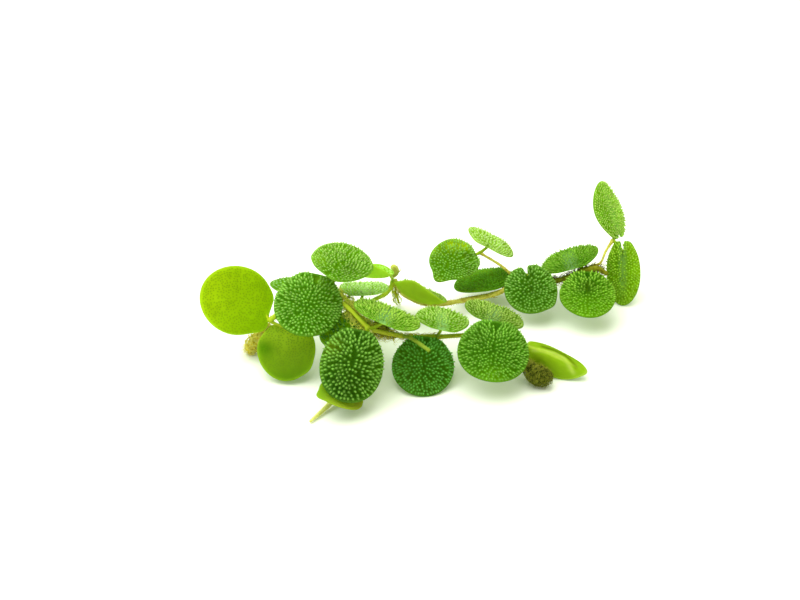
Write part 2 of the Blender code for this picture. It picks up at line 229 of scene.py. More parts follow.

# Name, joint, base, heading, pitch, roll, length and width, then what differs from the usual leaf.
# Patches below zero paint shade onto a leaf, such as under a curled lobe, in the midrib's groove or in a
# curled tip.
LEAVES = (
    Leaf("leaf_left_end", "a", (-30.0, -4.4, 10.5), 174, 21, 120, 13.6, 13.0, cup=-15, notch=0.13, corner=0.1,
         corner_turn=-155, under=seen(210, 238, 24), tone=seen(166, 210, 10), tone_turn=180, spacing=0.46,
         hair_height=0.5, lean=0.0, rib=0.02, dots=0.8, fine=True, patches=((0.4, 1.6, 2.4, -0.25),)),
    Leaf("leaf_left_low", "a", (-25.5, -6.1, 7.0), -82, -34, -172, 12.0, 11.0, cup=-15, notch=0.13,
         corner=0.06, corner_turn=-45, under=seen(196, 226, 54), tone=seen(92, 146, 8), tone_turn=0,
         tone_share=0.3, spacing=0.46, hair_height=0.5, lean=0.0, rib=0.02, dots=0.9, fine=True,
         # The patch paints a soft blotch of shade in the darker second colour.
         patches=((3.3, 4.1, 1.9, 0.85),)),
    Leaf("leaf_left_front", "b", (-20.1, -6.2, 15.8), -106, -33, -13, 13.0, 13.0, cup=-25, notch=0.25,
         ground=seen(52, 130, 4), hair=seen(164, 218, 92), tone=seen(156, 206, 66), tone_share=-0.7,
         glow=0.35, spacing=0.62, hair_height=0.56, patches=((-2.0, 0.9, 0.9, 0.8), (1.3, 3.5, 2.0, -0.25),
                  (1.6, -3.2, 1.8, -0.2))),
    Leaf("leaf_left_top", "b", (-16.3, -5.6, 19.5), 55, 0, 15, 11.5, 11.5, cup=10, corner=0.08,
         corner_turn=134, stalk_via=((-15.4, -2.2, 16.4),), ground=seen(84, 156, 14),
         hair=seen(186, 228, 110), tone=seen(160, 212, 70), tone_share=-0.7, glow=0.5, spacing=0.58,
         hair_height=0.62, lean=0.6, patches=((-0.1, 3.7, 2.0, 0.8), (2.6, -2.0, 2.2, -0.4))),
    Leaf("leaf_left_back", "c", (-20.1, 3.1, 10.1), 170, 6, -1, 11.0, 7.4, ground=seen(58, 133, 15),
         hair=seen(170, 216, 120), hair_height=0.35),
    Leaf("leaf_inner_back", "d", (-10.8, -1.1, 11.9), 87, -15, 0, 11.0, 9.5, cup=10,
         ground=seen(150, 208, 80), hair=seen(220, 246, 170), spacing=0.6, hair_height=0.36, lean=1.1,
         band=0.5),
    Leaf("leaf_inner_low", "d", (-12.1, -8.0, 9.8), -132, -15, -10, 10.0, 9.5, cup=-10,
         ground=seen(50, 126, 12), hair=seen(130, 190, 80)),
    Leaf("leaf_centre_back", "e", (-6.8, -14.5, 13.8), 81, -14, 17, 12.0, 13.0, cup=5,
         ground=seen(76, 156, 10), hair=seen(196, 234, 96), glow=0.45, spacing=0.56, hair_height=0.5,
         lean=1.1, band=0.7),
    Leaf("leaf_centre_front", "e", (-11.8, -18.3, 11.0), -103, -39, -16, 14.2, 12.0, cup=-30, notch=0.22,
         ground=seen(36, 98, 4), hair=seen(150, 206, 84), tone=seen(120, 146, 20), tone_share=-0.7, glow=0.25,
         spacing=0.69, hair_height=0.66, lean=0.8, patches=((7.9, 0.2, 2.6, -0.5), (10.6, -0.9, 1.5, -0.3),
                  (0.8, -4.5, 2.0, 0.7))),
    Leaf("leaf_middle_back", "f", (4.0, -10.2, 10.2), 89, -7, 8, 10.5, 10.2, ground=seen(88, 160, 16),
         hair=seen(198, 232, 116), spacing=0.56, hair_height=0.48, lean=1.1, band=0.7),
    Leaf("leaf_middle_front", "f", (0.9, -11.9, 6.4), -100, -42, -8, 11.5, 11.8, cup=-25,
         ground=seen(27, 108, 8), hair=seen(128, 204, 84), tone=seen(60, 116, 4), tone_turn=0, glow=0.25,
         spacing=0.56, hair_height=0.48),
    Leaf("leaf_right_back", "g", (13.4, -6.2, 9.2), 79, -12, 16, 11.0, 11.8, ground=seen(64, 124, 12),
         hair=seen(188, 220, 104), glow=0.4, spacing=0.56, hair_height=0.46, lean=1.1, band=0.6),
    Leaf("leaf_right_front", "g", (13.7, -12.6, 9.1), -97, -31, -6, 12.8, 13.4, cup=-20, notch=0.28,
         ground=seen(48, 124, 6), hair=seen(152, 210, 78), tone=seen(112, 180, 14), tone_share=-0.7, glow=0.3,
         spacing=0.57, hair_height=0.54, patches=((8.6, 0.2, 2.8, 0.7), (0.0, -2.7, 2.0, -0.4),
                  (3.0, -4.2, 1.6, -0.2))),
    Leaf("leaf_folded_front", "h", (22.0, -10.1, 5.2), -18, -18, -150, 12.1, 8.2, fold=60, bend=20,
         crease=1.4, corner=0.08, under=seen(182, 218, 46), tone=seen(230, 244, 116), tone_share=-0.7,
         hair_height=0.4, lean=0.0, rib=0.16, vein_highlight=1.0,
         # The bright second colour paints a highlight along the lit ridge of the fold; a line of painted
         # shade runs just above it, and painted shade lies on the lower face by the root tuft.
         patches=(*line_of((-0.8, 0.5), (2.6, -0.6), 8, 0.42, 0.7),
                  *line_of((3.0, -0.65), (5.2, -0.6), 6, 0.42, 0.7),
                  *line_of((5.6, -0.3), (7.9, 1.3), 7, 0.42, 0.7),
                  *line_of((0.4, -1.1), (2.6, -1.7), 6, 0.45, -0.7),
                  *line_of((3.0, -1.7), (5.2, -1.6), 6, 0.45, -0.8),
                  *line_of((5.6, -1.3), (7.8, 0.2), 7, 0.45, -0.6), (1.8, 3.4, 2.0, -0.9),
                  (0.2, 2.2, 1.2, -0.6))),
    Leaf("leaf_folded_back", "i", (-3.8, 10.8, 5.9), -34, 0, -37, 12.0, 11.0, fold=58, bend=60, crease=2.2,
         notch=0.1, ground=seen(102, 171, 28), hair=seen(186, 224, 105), under=seen(204, 232, 62),
         tone=seen(188, 192, 20), tone_turn=90, spacing=0.6, hair_height=0.45, vein_highlight=0.5,
         patches=((6.2, -2.4, 1.5, -0.3), (8.6, -1.6, 1.5, -0.3), (10.6, -1.8, 1.2, -0.6),
                  (2.3, -2.9, 1.6, -0.2))),
    Leaf("leaf_small_back", "i", (-6.3, 9.1, 9.8), 157, -7, 30, 9.5, 10.4, fold=58, bend=30, crease=2.3,
         notch=0.1, ground=seen(150, 216, 60), hair=seen(210, 240, 130), under=seen(216, 246, 96),
         hair_height=0.25, lean=0.0, vein_highlight=0.6),
    Leaf("leaf_back_left", "k", (10.2, 15.2, 11.3), -148, -1, -36, 10.6, 9.0, cup=20, notch=0.1, corner=0.34,
         corner_turn=34, ground=seen(60, 134, 14), hair=seen(168, 220, 96), under=seen(150, 200, 10),
         tone=seen(196, 226, 40), tone_turn=-90, tone_share=-0.7, glow=0.45, spacing=0.57, hair_height=0.52,
         lean=1.0, patches=((0.6, -2.6, 1.6, 1.2), (3.5, -3.4, 1.3, 1.0), (7.4, -4.0, 1.5, 0.7),
                  (1.2, -0.5, 0.9, -0.9), (2.7, 3.8, 1.6, -0.5), (10.0, 3.4, 1.2, 0.5))),
    Leaf("leaf_back_right", "k", (13.6, 18.4, 11.7), 74, -9, 25, 7.6, 10.4, ground=seen(160, 206, 78),
         hair=seen(220, 244, 164), spacing=0.57, hair_height=0.36),
    Leaf("leaf_shaded", "j", (15.8, 19.4, 4.5), -146, -3, 6, 12.5, 10.0, ground=seen(52, 118, 6),
         hair=seen(122, 184, 50), tone=seen(150, 204, 60), tone_turn=-90, tone_share=-0.7, glow=0.35,
         spacing=0.56, hair_height=0.3, patches=((0.5, -4.2, 2.2, 1.0), (4.5, -4.6, 2.0, 0.7),
                  (9.2, 1.5, 2.2, -0.5))),
    Leaf("leaf_right_middle", "j", (21.2, 13.6, 7.6), -76, -30, 8, 10.8, 10.5, cup=-15, gap=1.0, corner=0.07,
         corner_turn=40, ground=seen(40, 114, 6), hair=seen(156, 210, 92), glow=0.3, spacing=0.58,
         hair_height=0.46, patches=((-0.5, 0.2, 1.4, -0.5), (3.6, 0.0, 1.6, -0.3))),
    Leaf("leaf_far_back", "l", (30.1, 16.0, 8.5), 92, -8, -20, 11.5, 12.0, stalk_via=((31.6, 16.0, 8.9),),
         ground=seen(56, 132, 4), hair=seen(152, 202, 66), glow=0.4, spacing=0.57, hair_height=0.44, lean=1.4,
         band=0.4),
    Leaf("leaf_far_front", "l", (32.9, 11.5, 7.6), -93, -23, -1, 11.2, 11.0, cup=-15, ground=seen(42, 116, 2),
         hair=seen(162, 216, 70), tone=seen(96, 168, 6), tone_turn=0, glow=0.35, spacing=0.56,
         # Its patch is a painted shadow spot near the notch.
         hair_height=0.48, lean=1.2, patches=((1.7, -0.1, 1.6, -1.1),)),
    Leaf("leaf_far_low", "m", (40.6, 20.6, 8.7), -89, -57, 22, 12.9, 7.0, cup=-15, gap=1.0,
         ground=seen(58, 126, 2), hair=seen(178, 222, 66), tone=seen(136, 192, 10), tone_turn=90, glow=0.4,
         spacing=0.51, hair_height=0.42, lean=1.3, rib=0.2, band=0.25, patches=((1.3, -0.3, 1.4, -0.7),
                  (5.0, -0.1, 1.0, -0.4))),
    Leaf("leaf_top", "m", (39.7, 25.4, 11.4), 126, 56, 22, 12.0, 10.0, cup=-15, notch=0.13, gap=0.8,
         ground=seen(84, 160, 10), hair=seen(210, 240, 120), tone=seen(168, 222, 90), tone_turn=-90, glow=0.4,
         spacing=0.52, hair_height=0.42, lean=1.3, band=0.3),
    Leaf("leaf_under_tail", "t", (-13.4, -20.9, 3.6), -112, 6, 160, 8.8, 8.6, cup=10, corner=0.2,
         # Its olive-yellow second colour on one side is painted shadow, the tinted shadow beside the leaf
         # above it.
         corner_turn=40, under=seen(152, 188, 50), tone=seen(188, 178, 70), tone_turn=-90, hair_height=0.4,
         lean=0.0),
)

# Name, route, radii, tone, bristles for each millimetre, their length, and the fringe.
STEMS = (
    Stem("rhizome_left", ("a", (-24.0, -3.4, 11.6), "b", (-14.0, -6.7, 12.7), "e"),
         (0.45, 0.5, 0.5, 0.42, 0.42, 0.42, 0.5), StemTone.LIME, 1.5, 0.5,
         ((0.42, 0.8, 440, 2.2, 1.5), (0.72, 0.99, 380, 2.0, 2.0), (0.02, 0.1, 24, 1.0, 0.3))),
    Stem("rhizome_front", ("e", (-3.2, -10.0, 8.0), "f", (9.0, -7.2, 6.6), "g", (17.4, -8.0, 6.6), "h"),
         (0.45, 0.42, 0.42, 0.42), StemTone.OLIVE, 14.0, 0.35,
         ((0.0, 0.2, 300, 1.6, 1.5), (0.1, 0.45, 300, 1.5, 0.8))),
    Stem("shoot_left_back", ("b", (-17.6, -0.4, 12.2), "c"), (0.4, 0.4), StemTone.GOLDEN),
    Stem("runner_left", ("b", (-15.0, -1.8, 12.2), "d", (-8.6, 3.0, 8.4), (-6.2, 9.0, 6.6), "i"),
         (0.4, 0.42, 0.42, 0.42), StemTone.STRAW, 7.0, 0.7,
         ((0.02, 0.42, 480, 2.1, 1.6), (0.9, 0.99, 16, 1.2, 0.3))),
    Stem("runner_back", ("i", (-2.6, 12.9, 3.6), (2.5, 12.2, 2.0), (10.8, 13.6, 2.5), (16.0, 13.6, 4.0), "j"),
         (0.5, 0.52, 0.54, 0.48), StemTone.GOLDEN, 18.0, 0.22, ((0.75, 0.99, 26, 1.3, 0.3),)),
    Stem("runner_right", ("j", (26.6, 15.6, 5.3), "l", (34.9, 14.9, 8.6), (37.0, 14.8, 7.4)),
         (0.45, 0.45, 0.48, 0.55, 0.6, 0.45), StemTone.BROWN, 10.0, 0.45, ((0.3, 0.98, 480, 1.3, 1.2),)),
    Stem("shoot_right", ((34.0, 16.5, 8.3), (35.9, 17.9, 8.1), (37.3, 21.6, 8.8), "m"), (0.24, 0.22, 0.3),
         StemTone.GOLDEN, 4.0, 0.35),
    Stem("shoot_right_back", ("j", (16.4, 16.5, 8.1), "k"), (0.28, 0.24), StemTone.GOLDEN, 4.0, 0.35),
    Stem("old_rhizome", ("e", (-9.8, -15.0, 8.2), (-12.0, -17.0, 4.6), "t", (-16.5, -22.0, 1.0),
                         (-18.6, -25.2, 0.6), (-20.0, -27.4, 0.5)),
         (0.45, 0.45, 0.56, 0.24), StemTone.PALE, 2.0, 0.3),
    Stem("stub_front", ((-3.1, -11.0, 8.6), (-1.6, -12.4, 8.9), (1.6, -15.0, 7.9)), (0.34, 0.36),
         StemTone.GREEN, 0.5, 0.3),
    Stem("stub_back", ("g", (14.6, -3.6, 7.6), (16.2, 0.4, 6.6)), (0.3, 0.22), StemTone.STRAW, 2.0, 0.4),
    Stem("bud_back", ((-5.4, 14.2, 7.2), (-4.9, 13.9, 8.0), (-4.7, 13.6, 9.0), (-5.3, 13.4, 9.9)),
         (0.5, 0.78, 0.74, 0.5), StemTone.BUD, 4.0, 0.2, ((0.05, 0.6, 16, 1.2, 0.3),)),
)

# Name, route, radii, light and dark colour, filaments, thickness, curl, hair length, heart and darkening.
TUFTS = (
    Tuft("roots_left", ((-28.8, -4.6, 7.4), (-29.5, -4.1, 5.2), (-31.8, -3.4, 2.4), (-33.0, -3.2, 0.1)),
         (0.5, 0.9, 1.8, 1.5), seen(252, 252, 140), seen(226, 210, 50), 44, 0.14, 1.2, 1.0, 0.6),
    Tuft("roots_centre", ((-8.9, -11.9, 10.6), (-7.3, -9.4, 9.8), (-6.2, -8.6, 7.8)), (0.4, 1.5, 1.2),
         seen(170, 164, 40), seen(64, 66, 6), 30, 0.1, 1.2, 1.5),
    Tuft("roots_back", ((-5.1, 13.4, 6.2), (-4.6, 14.4, 3.4), (-4.0, 15.0, 0.1)), (0.4, 0.9, 1.0),
         seen(214, 232, 70), seen(184, 190, 30), 14, 0.09, 0.5, 0.5, 0.2),
    Tuft("roots_right", ((19.0, -10.0, 4.2), (19.6, -12.2, 3.4), (21.6, -14.4, 2.2), (24.5, -15.9, 2.3)),
         (0.5, 1.2, 2.0, 1.9), seen(208, 214, 80), seen(68, 82, 4), 84, 0.08, 2.2, 0.7, 0.66, 0.5),
)


def metres(points: np.ndarray) -> np.ndarray:
    """Points of the tables in metres, with the middle of the plant at the origin."""
    return (np.asarray(points, float) - PLANT_CENTRE) * MM


def unit(vectors: np.ndarray) -> np.ndarray:
    """Vectors of length one."""
    smallest = 1e-12
    return vectors / np.maximum(np.linalg.norm(vectors, axis=-1, keepdims=True), smallest)


def joint_point(stop: str | Point) -> np.ndarray:
    """Point of a named joint, or the point itself."""
    return np.array(JOINTS[stop] if isinstance(stop, str) else stop, float)


def around(count: int) -> np.ndarray:
    """Angles that part a full turn evenly."""
    return np.linspace(0.0, 2 * math.pi, count, endpoint=False)


def ring_quads(rings: int, sides: int) -> np.ndarray:
    """Corner numbers of the faces between rings of points that follow each other.

    Args:
        rings: Number of rings.
        sides: Number of points in each.

    Returns:
        Four corners of each face.
    """
    lower = np.arange(rings - 1)[:, None] * sides
    side = np.arange(sides)[None]
    following = (side + 1) % sides
    corners = (lower + side, lower + following, lower + sides + following, lower + sides + side)
    return np.stack(corners, axis=-1).reshape(-1, 4)


def fan(first: int, sides: int, middle: int) -> np.ndarray:
    """Corner numbers of the faces from a ring, whose points start at first, to the point numbered middle."""
    side = np.arange(sides)
    return np.stack([first + side, first + (side + 1) % sides, np.full(sides, middle)], axis=1)


def smooth_route(points: list, step: float) -> np.ndarray:
    """Points about one step apart on a smooth curve through the route's own points.

    Args:
        points: The route, in millimetres.
        step: Distance between the results.

    Returns:
        The points, in order.
    """
    route = [np.array(point, float) for point in points]
    route = [2 * route[0] - route[1], *route, 2 * route[-1] - route[-2]]
    result = []
    for before, start, end, after in zip(route, route[1:], route[2:], route[3:]):
        count = max(1, round(np.linalg.norm(end - start) / step))
        for index in range(count):
            part = index / count
            curve = 2 * start + (end - before) * part + (2 * before - 5 * start + 4 * end - after) * part**2
            result.append(0.5 * (curve + (3 * start - before - 3 * end + after) * part**3))
    result.append(route[-2])
    return np.array(result)


def cross_frames(path: np.ndarray) -> tuple[np.ndarray, np.ndarray, np.ndarray]:
    """Directions along and across a path that turn with it and don't spin.

    Args:
        path: Points in order.

    Returns:
        The tangents, and two directions across them.
    """
    too_upright = 0.1
    tangents = unit(np.gradient(path, axis=0))
    start = np.cross(tangents[0], (0.0, 0.0, 1.0))
    if np.linalg.norm(start) < too_upright:
        start = np.cross(tangents[0], (1.0, 0.0, 0.0))
    across = [unit(start)]
    for tangent in tangents[1:]:
        across.append(unit(across[-1] - tangent * np.dot(across[-1], tangent)))
    across = np.array(across)
    return tangents, across, np.cross(tangents, across)


@dataclass(frozen=True)
class HairForm:
    """One hair, upright and of height and width one, which is repeated all over a surface.

    Levels give the offset, the height and the radius of its rings.
    """

    points: np.ndarray
    triangles: np.ndarray
    quads: np.ndarray

    BRISTLE_LEVELS, BRISTLE_SIDES = ((0.0, -0.02, 1.0), (0.0, 0.5, 0.75)), 3
    FOOT_LEVELS, FOOT_SIDES, FOOT_TOP = ((0.0, -0.1, 0.42), (0.0, 0.34, 0.32), (0.0, 0.72, 0.26)), 5, 0.86
    BRANCH_LEVELS, BRANCH_SIDES, BRANCH_REACH = ((0.13, 0.52, 0.2),), 3, 0.24
    BRANCHES = 4

    @staticmethod
    def rings(levels: tuple[tuple[float, float, float], ...], sides: int, turn: float = 0.0) -> np.ndarray:
        """Points of stacked rings, whose offsets go the way of turn.

        Args:
            levels: Offset, height and radius of each ring.
            sides: Points in each ring.
            turn: Angle that the offsets go.

        Returns:
            The points, ring by ring.
        """
        points = [(offset * math.cos(turn) + radius * math.cos(angle), offset * math.sin(turn)
                   + radius * math.sin(angle), height)
                  for offset, height, radius in levels for angle in around(sides)]
        return np.array(points)

    @classmethod
    def bristle(cls) -> "HairForm":
        """A thin pointed hair.

        Returns:
            The hair.
        """
        sides = cls.BRISTLE_SIDES
        points = np.concatenate([cls.rings(cls.BRISTLE_LEVELS, sides), [(0.0, 0.0, 1.0)]])
        return cls(points, fan(sides, sides, 2 * sides), ring_quads(2, sides))

    @classmethod
    def papilla(cls) -> "HairForm":
        """A water-repelling hair: a stout foot that ends in four short spreading branches.

        Returns:
            The hair.
        """
        sides, levels = cls.FOOT_SIDES, len(cls.FOOT_LEVELS)
        points = [cls.rings(cls.FOOT_LEVELS, sides), [(0.0, 0.0, cls.FOOT_TOP)]]
        triangles = [fan((levels - 1) * sides, sides, levels * sides)]
        for branch in range(cls.BRANCHES):
            turn = (branch + 0.5) * 2 * math.pi / cls.BRANCHES
            first = levels * sides + 1 + branch * (cls.BRANCH_SIDES + 1)
            points.append(cls.rings(cls.BRANCH_LEVELS, cls.BRANCH_SIDES, turn))
            points.append([(cls.BRANCH_REACH * math.cos(turn), cls.BRANCH_REACH * math.sin(turn), 1.0)])
            triangles.append(fan(first, cls.BRANCH_SIDES, first + cls.BRANCH_SIDES))
        return cls(np.concatenate(points), np.concatenate(triangles), ring_quads(levels, sides))


class Draft:
    """Points, faces and per-point values of one mesh under way, in millimetres of the tables.

    Each point carries two values for the materials: flat, its place on the unrolled leaf or stem, and trait,
    which holds a height, a spot or a share, and a number that tells one hair from another.
    """

    def __init__(self) -> None:
        """Starts empty."""
        self.points: list[np.ndarray] = []
        self.flats: list[np.ndarray] = []
        self.traits: list[np.ndarray] = []
        self.faces: list[list[int]] = []
        self.slots: list[int] = []
        self.count = 0

    def add_points(self, points: np.ndarray, flat: np.ndarray, trait: np.ndarray) -> int:
        """Adds points.

        Args:
            points: Their places.
            flat: Their places on the unrolled surface.
            trait: Height, spot or share, and number of each.

        Returns:
            The number of the first of them.
        """
        self.points.append(points)
        self.flats.append(flat)
        self.traits.append(trait)
        self.count += len(points)
        return self.count - len(points)

    def add_faces(self, corners: np.ndarray, surface: Enum) -> None:
        """Adds faces of one surface, by the numbers of their corners."""
        self.faces.extend(corners.tolist())
        self.slots.extend([surface.value] * len(corners))

    def add_hairs(self, form: HairForm, feet: np.ndarray, upright: np.ndarray, lean: np.ndarray,
                  heights: np.ndarray, width: float, surface: Enum, chance: np.random.Generator,
                  flat: np.ndarray | None = None, shares: np.ndarray | None = None) -> None:
        """Adds one hair at each foot.

        Args:
            form: The hair.
            feet: Where each hair stands.
            upright: Direction of each hair.
            lean: How far each tip bends over, as a vector for a hair of height one.
            heights: Height of each hair.
            width: Width of all.
            surface: Material slot.
            chance: Source of the hairs' turns and numbers.
            flat: Place of each hair on the unrolled surface.
            shares: Share of the second colour or of shade at each hair.
        """
        count, number = len(feet), len(form.points)
        turn = chance.uniform(0.0, 2 * math.pi, count)[:, None]
        side = unit(np.cross(upright, unit(chance.normal(size=(count, 3)))))
        across = side * np.cos(turn) + np.cross(upright, side) * np.sin(turn)
        along = np.cross(upright, across)
        x, y, z = (form.points[None, :, axis, None] for axis in range(3))
        points = feet[:, None] + (across[:, None] * x + along[:, None] * y) * width
        points = points + (upright[:, None] * z + lean[:, None] * z**2) * heights[:, None, None]
        trait = np.zeros((count, number, 3))
        trait[..., 0] = np.clip(form.points[:, 2], 0.0, 1.0)
        trait[..., 1] = 0.0 if shares is None else shares[:, None]
        trait[..., 2] = chance.uniform(size=count)[:, None]
        flat = np.repeat(np.zeros((count, 3)) if flat is None else flat, number, axis=0)
        first = self.add_points(points.reshape(-1, 3), flat, trait.reshape(-1, 3))
        starts = first + np.arange(count)[:, None, None] * number
        for faces in (form.triangles, form.quads):
            self.add_faces((starts + faces).reshape(-1, faces.shape[1]), surface)

    def build(self, name: str, materials: list[Material]) -> bpy.types.Object:
        """Makes the object; nothing on it dips under the surface that the plant lies on.

        Args:
            name: Name of the piece.
            materials: Its material slots, in order.

        Returns:
            The finished object, linked to the scene.
        """
        mesh = bpy.data.meshes.new(name)
        points = np.concatenate(self.points)
        points[:, 2] = np.maximum(points[:, 2], 0.0)
        mesh.from_pydata(metres(points).tolist(), [], self.faces)
        for label, values in (("flat", self.flats), ("trait", self.traits)):
            layer = mesh.attributes.new(label, "FLOAT_VECTOR", "POINT")
            layer.data.foreach_set("vector", np.concatenate(values).astype(np.float32).ravel())
        for material in materials:
            mesh.materials.append(material)
        mesh.polygons.foreach_set("material_index", self.slots)
        mesh.shade_smooth()
        mesh.validate()
        piece = bpy.data.objects.new(name, mesh)
        bpy.context.scene.collection.objects.link(piece)
        return piece


@dataclass(frozen=True)
class Tube:
    """A round tube, by its middle line and its radius at each point of it, or at each point and side."""

    path: np.ndarray
    radii: np.ndarray

    CAP, END_GAP = 0.6, 0.001

    def add_to(self, draft: Draft, sides: int, surface: Enum, number: float = 0.0, rise: float = 0.0) -> None:
        """Adds the tube, with closed, rounded ends.

        Args:
            draft: Mesh under way.
            sides: Number of sides.
            surface: Material slot.
            number: Number that tells it from its neighbours.
            rise: Height that its end has as a hair; its start has none.
        """
        path, turns = self.path, around(sides)
        tangents, across, upward = cross_frames(path)
        radii = np.broadcast_to(np.asarray(self.radii, float).reshape(len(path), -1), (len(path), sides))
        ring = across[:, None] * np.cos(turns)[:, None] + upward[:, None] * np.sin(turns)[:, None]
        body = (path[:, None] + ring * radii[..., None]).reshape(-1, 3)
        cap = self.CAP * radii[[0, -1]].mean(axis=1)
        ends = np.array((path[0] - tangents[0] * cap[0], path[-1] + tangents[-1] * cap[1]))
        run = np.concatenate([[0.0], np.cumsum(np.linalg.norm(np.diff(path, axis=0), axis=1))])
        flat = np.stack([np.repeat(run, sides), np.tile(turns, len(path)), np.zeros(len(body))], axis=1)
        flat = np.concatenate([flat, [[0.0, 0.0, 1.0], [run[-1], 0.0, 1.0]]])
        height = rise * flat[:, 0] / run[-1]
        trait = np.stack([height, np.zeros(len(flat)), np.full(len(flat), number)], axis=1)
        first = draft.add_points(np.concatenate([body, ends]), flat, trait)
        for faces in (ring_quads(len(path), sides), fan(0, sides, len(body))[:, ::-1],
                      fan(len(body) - sides, sides, len(body) + 1)):
            draft.add_faces(faces + first, surface)

    def scatter(self, density: float,
                chance: np.random.Generator) -> tuple[np.ndarray, np.ndarray, np.ndarray]:
        """Random places on the tube.

        Args:
            density: Places for each millimetre of its length.
            chance: Source of the places.

        Returns:
            The places, the direction off the tube at each, and the direction along it.
        """
        path = self.path
        tangents, across, upward = cross_frames(path)
        lengths = np.linalg.norm(np.diff(path, axis=0), axis=1)
        count = max(1, round(density * lengths.sum()))
        where = chance.uniform(0.0, len(path) - 1 - self.END_GAP, count)
        index = where.astype(int)
        part = (where - index)[:, None]
        middle = path[index] * (1 - part) + path[index + 1] * part
        turn = chance.uniform(0.0, 2 * math.pi, count)[:, None]
        off = across[index] * np.cos(turn) + upward[index] * np.sin(turn)
        return middle + off * self.radii[index][:, None], off, tangents[index]


class Patch:
    """Adds and links the nodes of one node tree."""

    def __init__(self, tree: bpy.types.NodeTree) -> None:
        """Keeps the tree."""
        self.tree = tree

    def node(self, kind: str, inputs: dict | None = None, **settings: object) -> bpy.types.Node:
        """Adds a node.

        Args:
            kind: Node type, without its prefix.
            inputs: Value or socket of each input, by name or number.
            **settings: Properties of the node.

        Returns:
            The node.
        """
        made = self.tree.nodes.new("ShaderNode" + kind)
        for key, value in settings.items():
            setattr(made, key, value)
        for key, value in (inputs or {}).items():
            if isinstance(value, Socket):
                self.tree.links.new(value, made.inputs[key])
            elif made.inputs[key].type == "RGBA":
                made.inputs[key].default_value = (*value, 1.0)
            else:
                made.inputs[key].default_value = value
        return made

    def maths(self, operation: str, *values: Socket | float) -> Socket:
        """Result of a sum on numbers."""
        return self.node("Math", dict(enumerate(values)), operation=operation).outputs[0]

    def blend(self, share: Socket | float, first: Socket | Colour, second: Socket | Colour) -> Socket:
        """Colour between two others."""
        return self.node("Mix", {0: share, 6: first, 7: second}, data_type="RGBA").outputs[2]

    def between(self, value: Socket, low: Socket | float, high: Socket | float, start: float = 0.0,
                end: float = 1.0) -> Socket:
        """Value carried smoothly from the range low to high to the range start to end."""
        inputs = {"Value": value, "From Min": low, "From Max": high, "To Min": start, "To Max": end}
        return self.node("MapRange", inputs, interpolation_type="SMOOTHSTEP").outputs[0]

    def noise(self, place: Socket, scale: float, detail: float = 2.0) -> Socket:
        """Cloudy value from 0 to 1."""
        return self.node("TexNoise", {"Vector": place, "Scale": scale, "Detail": detail}).outputs[0]

    def toned(self, colour: Socket, **changes: Socket | float) -> Socket:
        """Colour with its Hue, Saturation or Value changed."""
        return self.node("HueSaturation", {"Color": colour} | changes).outputs[0]

    def axes(self, vector: Socket) -> bpy.types.NodeOutputs:
        """The three numbers of a vector."""
        return self.node("SeparateXYZ", {0: vector}).outputs


class GroupPatch(Patch):
    """Adds the nodes of one shader node group."""

    def __init__(self, name: str, inputs: dict[str, tuple[str, ...]],
                 outputs: dict[str, tuple[str, ...]]) -> None:
        """Starts the group.

        Args:
            name: Its name.
            inputs: Names of its inputs, by their type.
            outputs: Names of its outputs, by their type.
        """
        super().__init__(bpy.data.node_groups.new(name, "ShaderNodeTree"))
        new_socket = self.tree.interface.new_socket
        for direction, sockets in (("INPUT", inputs), ("OUTPUT", outputs)):
            for kind, labels in sockets.items():
                for label in labels:
                    new_socket(name=label, in_out=direction, socket_type="NodeSocket" + kind)
        self.given = self.tree.nodes.new("NodeGroupInput").outputs
        self.target = self.tree.nodes.new("NodeGroupOutput")

    def put_out(self, results: dict[str, Socket]) -> None:
        """Links each result to the output of that name."""
        for label, socket in results.items():
            self.tree.links.new(socket, self.target.inputs[label])


